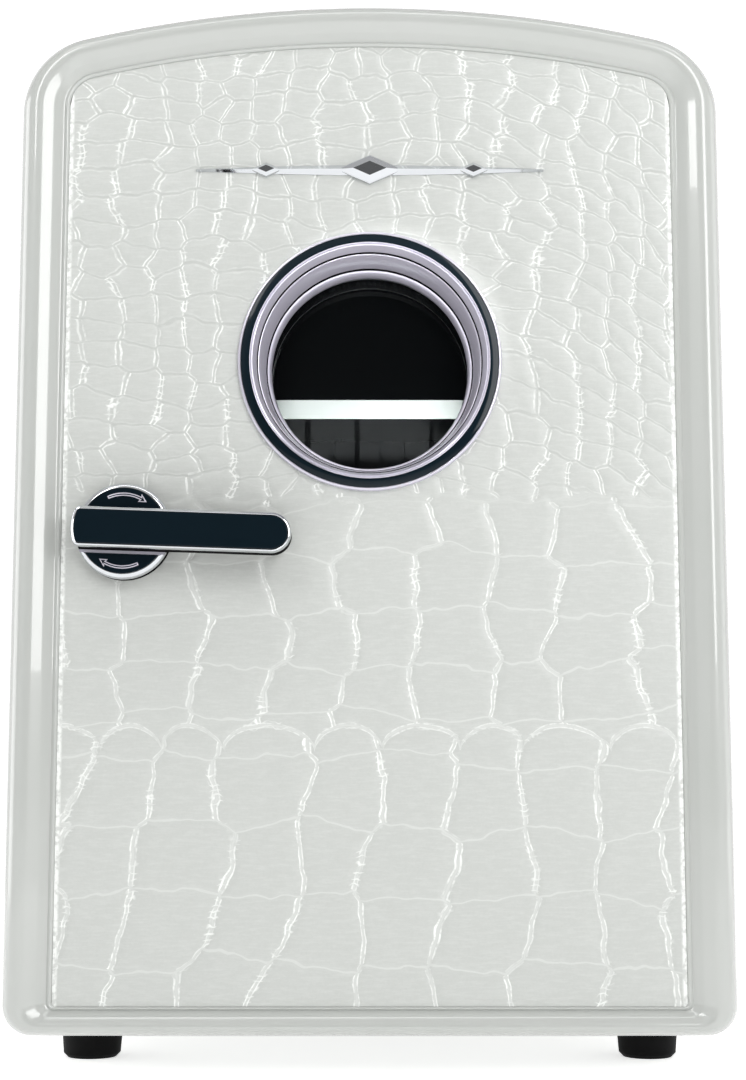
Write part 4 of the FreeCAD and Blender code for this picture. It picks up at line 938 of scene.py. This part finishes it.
@dataclass
class Porthole:
    """The round window: chrome bezel with a dark band, ridged silver funnel, two panes and a sleeve."""

    shop: Workshop
    band_out: float = 34.45 * MM
    band_in: float = 32.15 * MM
    throat: float = 26.85 * MM

    def build(self) -> None:
        """Makes the parts from the front to the back."""
        low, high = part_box("window_bezel")
        centre = ((low.x + high.x) / 2, (low.z + high.z) / 2)
        self.bezel(low, high, centre)
        self.funnel(high.y, centre)

    def bezel(self, low: Vector, high: Vector, centre: tuple[float, float]) -> None:
        """Turns the bezel and its dark band."""
        out, back, front = (high.x - low.x) / 2, high.y, low.y
        lip = 31.75 * MM
        rim = [(lip, back), (out - 0.1 * MM, back), (out, back - 0.2 * MM), (out, back - 0.9 * MM),
               (out - 0.06 * MM, back - 1.2 * MM), (out - 0.25 * MM, back - 1.5 * MM),
               (out - 0.5 * MM, back - 1.62 * MM), (out - 0.75 * MM, back - 1.6 * MM),
               (self.band_out, back - 1.3 * MM), (self.band_in, back - 1.6 * MM),
               (self.band_in - 0.05 * MM, front + 0.15 * MM), (self.band_in - 0.2 * MM, front),
               (lip + 0.15 * MM, front + 0.02 * MM), (lip, front + 0.25 * MM)]
        made = self.shop.turned(rim, centre)
        self.shop.piece("window_bezel_rim", made, "chrome", "door", ["window_bezel"], "funnel_silver")
        band = [(self.band_out, back - 1.25 * MM), (self.band_out, back - 1.6 * MM),
                (self.band_out - 0.15 * MM, back - 1.75 * MM), (self.band_out - 1.2 * MM, back - 1.95 * MM),
                (self.band_in, back - 2.03 * MM), (self.band_in, back - 1.55 * MM)]
        self.shop.piece("window_bezel_band", self.shop.turned(band, centre), "black_chrome", "door")

    def funnel(self, front: float, centre: tuple[float, float]) -> None:
        """Turns the funnel with its rounded ridges, and sets painted shade as dark rings in two of its valleys."""
        low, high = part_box("window_funnel")
        out, back = (high.x - low.x) / 2, high.y
        steps = [(31.75, -1.9), (31.55, -2.05), (31.3, -1.95), (30.9, -1.0), (30.5, 0.1), (30.25, 1.0), (30.4, 1.3),
                 (30.45, 1.7), (30.1, 1.95), (29.8, 2.0), (29.65, 2.2), (29.2, 4.0), (28.8, 6.0), (28.45, 8.0),
                 (28.2, 10.2), (28.4, 10.5), (28.45, 11.0), (28.1, 11.3), (27.75, 11.4), (27.45, 11.7),
                 (27.2, 12.3), (27.0, 13.4), (self.throat / MM, 15.0)]
        profile = [(out, back), (out, front + 0.05 * MM), (31.75 * MM, front + 0.05 * MM)]
        profile += [(radius * MM, front + depth * MM) for radius, depth in steps] + [(self.throat, back)]
        made = self.shop.turned(profile, centre)
        self.shop.piece("window_funnel_skin", made, "chrome", "door", ["window_funnel"], "funnel_silver", 35)
        # two thin matte black rings in the funnel's valleys are painted shade, the dark lines beside the ridges
        for name, radius, depth in (("front", 29.95, 1.5), ("back", 27.9, 10.9)):
            inner, outer = radius * MM, (radius + 0.5) * MM
            shadow = [(inner, front + (depth - 0.1) * MM), (inner, front + (depth + 0.3) * MM),
                      (outer, front + (depth + 0.3) * MM), (outer, front + (depth - 0.1) * MM)]
            self.shop.piece(f"window_shade_ring_{name}", self.shop.turned(shadow, centre), "liner_black", "door",
                            finish="matte_black")


@dataclass
class Latch:
    """The turning latch: a chrome disc in two halves beside a channel, and a lever across it."""

    shop: Workshop
    disc: float = 12.7 * MM
    channel: float = 5.2 * MM
    heel: float = 12.8 * MM
    half: float = 5.3 * MM
    reach: float = 39.0 * MM
    drop_deg: float = 2.0
    heel_corner: float = 2.0 * MM
    arrow_radius: float = 9.6 * MM
    arrow_half: float = 0.42 * MM
    arrow_line: float = 0.27 * MM

    def place(self, points: Flat) -> Flat:
        """Turns an outline about the latch's centre to its rest."""
        low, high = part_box("latch_disc")
        return turned_about(points, ((low.x + high.x) / 2, (low.z + high.z) / 2), self.drop_deg)

    def bar(self, inset: float) -> Flat:
        """The lever's outline that far inside its edge."""
        half, heel, turn = self.half - inset, self.heel - inset, max(self.heel_corner - inset, 0.25 * MM)
        x = -math.sqrt((heel - turn) ** 2 - (half - turn) ** 2)
        lean = math.degrees(math.atan2(half - turn, x))
        run = arc(self.reach, 0, half, -90, 90, 32) + arc(x, half - turn, turn, 90, lean, 8)
        run += arc(0, 0, heel, lean, 360 - lean, 16)[1:-1]
        return run + arc(x, turn - half, turn, 360 - lean, 270, 8)

    def half_disc(self, side: int, inset: float) -> Flat:
        """One half of the disc beside the channel, that far inside its edge."""
        radius, chord = self.disc - inset, self.channel + inset * 0.66
        lean = math.degrees(math.asin(chord / radius))
        return [(x * side, z * side) for x, z in arc(0, 0, radius, lean, 180 - lean, 48)]

    def arrow(self, side: int) -> Flat:
        """A curved arrow that points clockwise, as a closed outline."""
        tail, neck, tip = 117, 64, 52.5
        run = arc(0, 0, self.arrow_radius + self.arrow_half, tail, neck, 16)
        barbs = [(self.arrow_radius + 1.15 * MM, neck + 1.5), (self.arrow_radius, tip),
                 (self.arrow_radius - 1.15 * MM, neck + 1.5)]
        run += [(r * math.cos(math.radians(t)), r * math.sin(math.radians(t))) for r, t in barbs]
        run += arc(0, 0, self.arrow_radius - self.arrow_half, neck, tail, 16)
        return [(x * side, z * side) for x, z in run]

    def build(self) -> None:
        """Makes the disc, the arrows and the lever."""
        low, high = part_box("latch_disc")
        front, back = low.y, high.y
        back -= 0.15 * MM
        # the disc's black core is painted shade round its side and in the channel between the halves
        core = [(self.disc - 0.2 * MM, back), (self.disc - 0.05 * MM, back - 0.2 * MM),
                (self.disc - 0.05 * MM, front + 1.7 * MM), (self.disc - 0.5 * MM, front + 1.65 * MM),
                (0.3 * MM, front + 1.65 * MM), (0.3 * MM, back)]
        centre = self.place([(0.0, 0.0)])[0]
        self.shop.piece("latch_disc_core", self.shop.turned(core, centre, 96), "liner_black", "latch",
                        finish="matte_black")
        for side, name in ((1, "upper"), (-1, "lower")):
            self.half_plate(side, name, front)
        self.lever()

    def half_plate(self, side: int, name: str, front: float) -> None:
        """Makes one half of the disc with its dark inlay and arrow."""
        steps = [(0.15, 1.75), (0.0, 1.6), (0.0, 1.3), (0.18, 0.75), (0.55, 0.3), (1.0, 0.06), (1.35, 0.0)]
        layers = [(self.place(self.half_disc(side, inset * MM)), front + drop * MM) for inset, drop in steps]
        nodes = ["latch_disc"] if side == 1 else []
        self.shop.piece(f"latch_disc_{name}", self.shop.plate(layers), "chrome", "latch", nodes)
        steps = [(1.4, 0.05), (1.4, -0.22), (1.5, -0.3)]
        layers = [(self.place(self.half_disc(side, inset * MM)), front + drop * MM) for inset, drop in steps]
        nodes = ["disc_inlays"] if side == 1 else []
        self.shop.piece(f"latch_inlay_{name}", self.shop.plate(layers), "black_chrome", "latch", nodes)
        # the lip beside the channel takes the pale silver finish, not chrome: its brightness is a painted reflection
        # of the sky above, which the chrome bevel mirrors
        near, far = self.channel + 0.1 * MM, self.channel + 0.8 * MM
        wide, narrow = 0.89 * self.disc, 0.865 * self.disc
        strip = [(x * side, z * side) for x, z in ((-wide, near), (wide, near), (narrow, far), (-narrow, far))]
        layers = [(self.place(strip), front + drop * MM) for drop in (0.5, -0.1)]
        self.shop.piece(f"latch_lip_{name}", self.shop.plate(layers), "chrome", "latch", finish="funnel_silver")
        line = self.arrow(side)
        rings = []
        for inset, y in ((0.0, 0.29), (0.0, 0.36), (0.06, 0.4), (0.14, 0.4), (0.2, 0.36), (0.2, 0.29)):
            ring = self.place(inset_loop(line, inset * MM / 0.2 * self.arrow_line / MM))
            rings.append([Vector((x, front - y * MM, z)) for x, z in ring])
        self.shop.piece(f"latch_arrow_{name}", self.shop.loft(rings), "chrome", "latch",
                        finish="funnel_silver")

    def lever(self) -> None:
        """Makes the lever: a black core as narrow as the disc's channel asks, which is painted shade under the rim, a
        chrome rim, and an inlay whose dark is a painted reflection.
        """
        low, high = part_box("latch_lever")
        front = low.y
        steps = [(0.2, high.y - front), (0.2, 1.5 * MM)]
        layers = [(self.place(self.bar(inset * MM)), front + drop) for inset, drop in steps]
        self.shop.piece("latch_lever_core", self.shop.plate(layers), "liner_black", "latch",
                        finish="matte_black")
        steps = [(0.12, 1.6), (0.0, 1.5), (0.0, 1.05), (0.1, 0.62), (0.26, 0.26), (0.46, 0.05), (0.66, 0.0),
                 (0.82, 0.06), (0.9, 0.3)]
        layers = [(self.place(self.bar(inset * MM)), front + drop * MM) for inset, drop in steps]
        self.shop.piece("latch_lever_rim", self.shop.plate(layers), "chrome", "latch", ["latch_lever"])
        steps = [(0.87, 0.35), (0.87, -0.12), (0.97, -0.25), (1.15, -0.3)]
        layers = [(self.place(self.bar(inset * MM)), front + drop * MM) for inset, drop in steps]
        self.shop.piece("latch_lever_inlay", self.shop.plate(layers), "black_chrome", "latch", ["lever_inlay"])


def inset_loop(points: Flat, inset: float) -> Flat:
    """Moves a closed outline inwards by the same width all round.

    Args:
        points: The outline, either way round.
        inset: How far inwards.

    Returns:
        As many points as it was given.
    """
    area = sum(a[0] * b[1] - b[0] * a[1] for a, b in zip(points, points[1:] + points[:1]))
    inwards = math.copysign(inset, area)
    moved = []
    for i, (x, z) in enumerate(points):
        before, after = points[i - 1], points[(i + 1) % len(points)]
        first = Vector((x - before[0], z - before[1])).normalized()
        second = Vector((after[0] - x, after[1] - z)).normalized()
        normals = [Vector((-d.y, d.x)) for d in (first, second)]
        middle = normals[0] + normals[1]
        middle = middle.normalized() if middle.length > 1e-6 else normals[0]
        stretch = 1 / max(middle.dot(normals[0]), 0.45)
        moved.append((x + middle.x * inwards * stretch, z + middle.y * inwards * stretch))
    return moved


@dataclass
class Ornament:
    """A plain chrome ornament: a slim faceted bar with three lozenges."""

    shop: Workshop
    bar_half: float = 1.45 * MM
    tip_half: float = 0.3 * MM
    lozenges: tuple[tuple[str, float, float], ...] = (
        ("middle", 0.0, 1.0), ("left", -28.0, 0.5), ("right", 28.0, 0.5))

    def build(self) -> None:
        """Makes the bar and the three lozenges."""
        low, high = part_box("badge")
        middle = (low.z + high.z) / 2
        rings = []
        stations = 48
        for i in range(stations + 1):
            across = low.x + (high.x - low.x) * i / stations
            share = abs(across) / high.x
            half = self.tip_half + (self.bar_half - self.tip_half) * (1 - share**1.6)
            ridge = 0.9 * MM + 0.7 * half
            profile = [(-half, 0.0), (-half, 0.55 * MM), (0.0, ridge), (half, 0.55 * MM), (half, 0.0)]
            rings.append([Vector((across, high.y - rise, middle + up)) for up, rise in profile])
        self.shop.piece("ornament_bar", self.shop.loft(rings, closed=False, cap=True), "chrome", "door", ["badge"])
        for name, across, size in self.lozenges:
            layers = []
            for scale, rise in ((1.0, 0.2), (1.0, 1.3), (0.93, 1.6), (0.55, 2.45), (0.5, 2.6)):
                wide, tall = 9 * MM * scale * size, 4 * MM * scale * size
                outline = [(across * MM + wide, middle), (across * MM, middle + tall),
                           (across * MM - wide, middle), (across * MM, middle - tall)]
                layers.append((outline, high.y - rise * MM * (0.7 + 0.3 * size)))
            self.shop.piece(f"ornament_lozenge_{name}", self.shop.plate(layers), "chrome", "door", sharp_deg=12)


@dataclass
class Carcass:
    """Everything that keeps its CAD shape: welded, smoothed and dressed in its own finish, but for the parts seen
    inside, which take painted shade.
    """

    shop: Workshop
    # the cold sink and block take near-black painted shade, as the cabinet's inside is in shade
    seen_inside: tuple[str, ...] = ("cold_sink", "cold_block")
    anodised: str = "black_anodised"

    def build(self, done: set[str]) -> None:
        """Carries the remaining nodes over.

        Args:
            done: Nodes that another piece stands for.
        """
        groups = frame["record"]["behaviour"]["bodies"]
        bodies = {node: body for body, nodes in groups.items() for node in nodes}
        for name in sorted(frame["nodes"]):
            if name not in done:
                slot = self.slot_of(name)
                self.shop.carry_over(name, slot, bodies[name], self.anodised if name in self.seen_inside else slot)

    def slot_of(self, name: str) -> str:
        """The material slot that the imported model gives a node."""
        return frame["nodes"][name].material_slots[0].material.name.split(".")[0]


@dataclass
class Studio:
    """A pale sweep, strip lights in front and above, a wash on each side, and a white room with a dark end."""

    left_power: float = 1.6
    right_power: float = 3.4
    top_power: float = 1.1
    room_level: float = 0.58
    dark_level: float = 0.1
    paper_glow: float = 0.34
    paper_seen: float = 0.64
    wash_left: float = 2.8
    wash_right: float = 1.2
    window_power: float = 30.0

    def build(self) -> None:
        """Makes the floor, the lights and the room."""
        self.floor()
        self.soft_box("strip_left", (-0.4, -0.93, 0.74), (0.08, -0.12, 0.2), (0.2, 0.4), self.left_power)
        self.soft_box("strip_right", (0.42, -0.92, 0.48), (-0.08, -0.12, 0.16), (0.32, 0.66), self.right_power)
        self.soft_box("strip_top", (0.05, -0.38, 0.85), (0.0, -0.1, 0.2), (0.9, 0.12), self.top_power)
        for name, side, power in (("wash_left", -1, self.wash_left), ("wash_right", 1, self.wash_right)):
            self.soft_box(name, (side * 0.9, 0.06, 0.22), (0.0, 0.02, 0.16), (0.5, 0.9), power)
        self.window_spot()
        self.room()

    def window_spot(self) -> None:
        """Sends a narrow beam through the window onto the shelf."""
        low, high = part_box("shelf")
        aim = Vector((0.0, low.y, high.z))
        lamp = bpy.data.lights.new("window_spot", "SPOT")
        lamp.energy, lamp.spot_size, lamp.spot_blend = self.window_power, math.radians(6.0), 0.25
        lamp.shadow_soft_size = 0.01
        made = bpy.data.objects.new("window_spot", lamp)
        made.location = aim + Vector((0.02, -0.6, 0.04))
        made.rotation_euler = (aim - made.location).to_track_quat("-Z", "Y").to_euler()
        bpy.context.scene.collection.objects.link(made)

    def room(self) -> None:
        """Lights the room evenly but for the dark end where the camera stands."""
        world = bpy.data.worlds.new("white_room")
        bpy.context.scene.world = world
        world.use_nodes = True
        tree = world.node_tree
        tree.nodes.clear()
        way = add(tree, "ShaderNodeTexCoord").outputs["Generated"]
        ahead = vector(tree, "DOT_PRODUCT", way, (0.0, -1.0, 0.0))
        level = ramp(tree, ahead.outputs["Value"], 0.86, 0.97, self.room_level, self.dark_level, smooth=True)
        seen = add(tree, "ShaderNodeLightPath").outputs["Is Camera Ray"]
        level = mix(tree, seen, level, 1.0)
        glow = add(tree, "ShaderNodeBackground", {"Color": (1.0, 1.0, 1.0, 1.0), "Strength": level})
        add(tree, "ShaderNodeOutputWorld", [glow])
        bpy.context.scene.view_settings.view_transform = "Standard"

    def floor(self) -> None:
        """Lays the paper sweep."""
        paper = bpy.data.materials.new("white_paper")
        paper.use_nodes = True
        paper.node_tree.nodes.clear()
        where = add(paper.node_tree, "ShaderNodeTexCoord").outputs["Object"]
        fibre = add(paper.node_tree, "ShaderNodeTexNoise", {"Vector": where, "Scale": 400.0})
        tone = add(paper.node_tree, "ShaderNodeMix", {0: fibre, 6: linear("fdfdfd"), 7: linear("fafafa")},
                   data_type="RGBA")
        seen = add(paper.node_tree, "ShaderNodeLightPath").outputs["Is Camera Ray"]
        glow = mix(paper.node_tree, seen, self.paper_glow, self.paper_seen)
        body = add(paper.node_tree, "ShaderNodeBsdfPrincipled", {
            "Base Color": tone.outputs[2], "Roughness": 0.9, "Specular IOR Level": 0.1,
            "Emission Color": (1.0, 1.0, 1.0, 1.0), "Emission Strength": glow})
        add(paper.node_tree, "ShaderNodeOutputMaterial", [body])
        mesh = bpy.data.meshes.new("sweep")
        sweep = bmesh.new()
        rows = []
        for i in range(25):
            turn = math.radians(90) * max(i - 1, 0) / 23
            y = -3.0 if i == 0 else 1.4 + 1.2 * math.sin(turn)
            z = 0.0 if i == 0 else 1.2 - 1.2 * math.cos(turn)
            rows.append([sweep.verts.new((x, y, z)) for x in (-4.0, 4.0)])
        rows.append([sweep.verts.new((x, 2.6, 4.0)) for x in (-4.0, 4.0)])
        for low, high in zip(rows, rows[1:]):
            sweep.faces.new((low[0], low[1], high[1], high[0]))
        sweep.to_mesh(mesh)
        sweep.free()
        mesh.materials.append(paper)
        made = bpy.data.objects.new("sweep", mesh)
        bpy.context.scene.collection.objects.link(made)

    def soft_box(self, name: str, at: Sequence[float], aim: Sequence[float], size: tuple[float, float],
                 power: float) -> None:
        """Hangs one soft box.

        Args:
            name: Its name.
            at: Where it is.
            aim: What it faces.
            size: Its width and height.
            power: Its power in watts.
        """
        lamp = bpy.data.lights.new(name, "AREA")
        lamp.shape, lamp.size, lamp.size_y, lamp.energy = "RECTANGLE", size[0], size[1], power
        made = bpy.data.objects.new(name, lamp)
        made.location = at
        made.rotation_euler = (Vector(aim) - Vector(at)).to_track_quat("-Z", "Y").to_euler()
        bpy.context.scene.collection.objects.link(made)


def place_camera(distance: float = 500 * MM, height: float = 74.3 * MM, pitch_deg: float = 7.4,
                 lens_mm: float = 63.63) -> None:
    """Stands the camera low in front of the door, looking slightly up.

    Args:
        distance: From the lens to the clad panel.
        height: Of the lens above the floor.
        pitch_deg: How far it looks up.
        lens_mm: Its focal length on a 36 mm sensor.
    """
    low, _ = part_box("leather_panel")
    lens = bpy.data.cameras.new("camera")
    lens.lens, lens.sensor_width, lens.clip_start, lens.shift_x = lens_mm, 36.0, 0.01, 0.003
    made = bpy.data.objects.new("camera", lens)
    made.location = (0.0, low.y - distance, height)
    made.rotation_euler = (math.radians(90 + pitch_deg), 0.0, 0.0)
    bpy.context.scene.collection.objects.link(made)
    bpy.context.scene.camera = made


def main() -> None:
    """Builds the fridge's looks round the fixed frame."""
    logging.basicConfig(level=logging.INFO, format="%(name)s: %(message)s")
    place_camera()
    shop = Workshop()
    frame_part = DoorFrame(shop)
    frame_part.build()
    LeatherPanel(shop, frame_part).build()
    Porthole(shop).build()
    Latch(shop).build()
    Ornament(shop).build()
    Carcass(shop).build({"door_frame", "leather_panel", "window_bezel", "window_funnel", "latch_disc", "disc_inlays",
                         "latch_lever", "lever_inlay", "badge"})
    Studio().build()


if __name__ == "__main__":
    main()
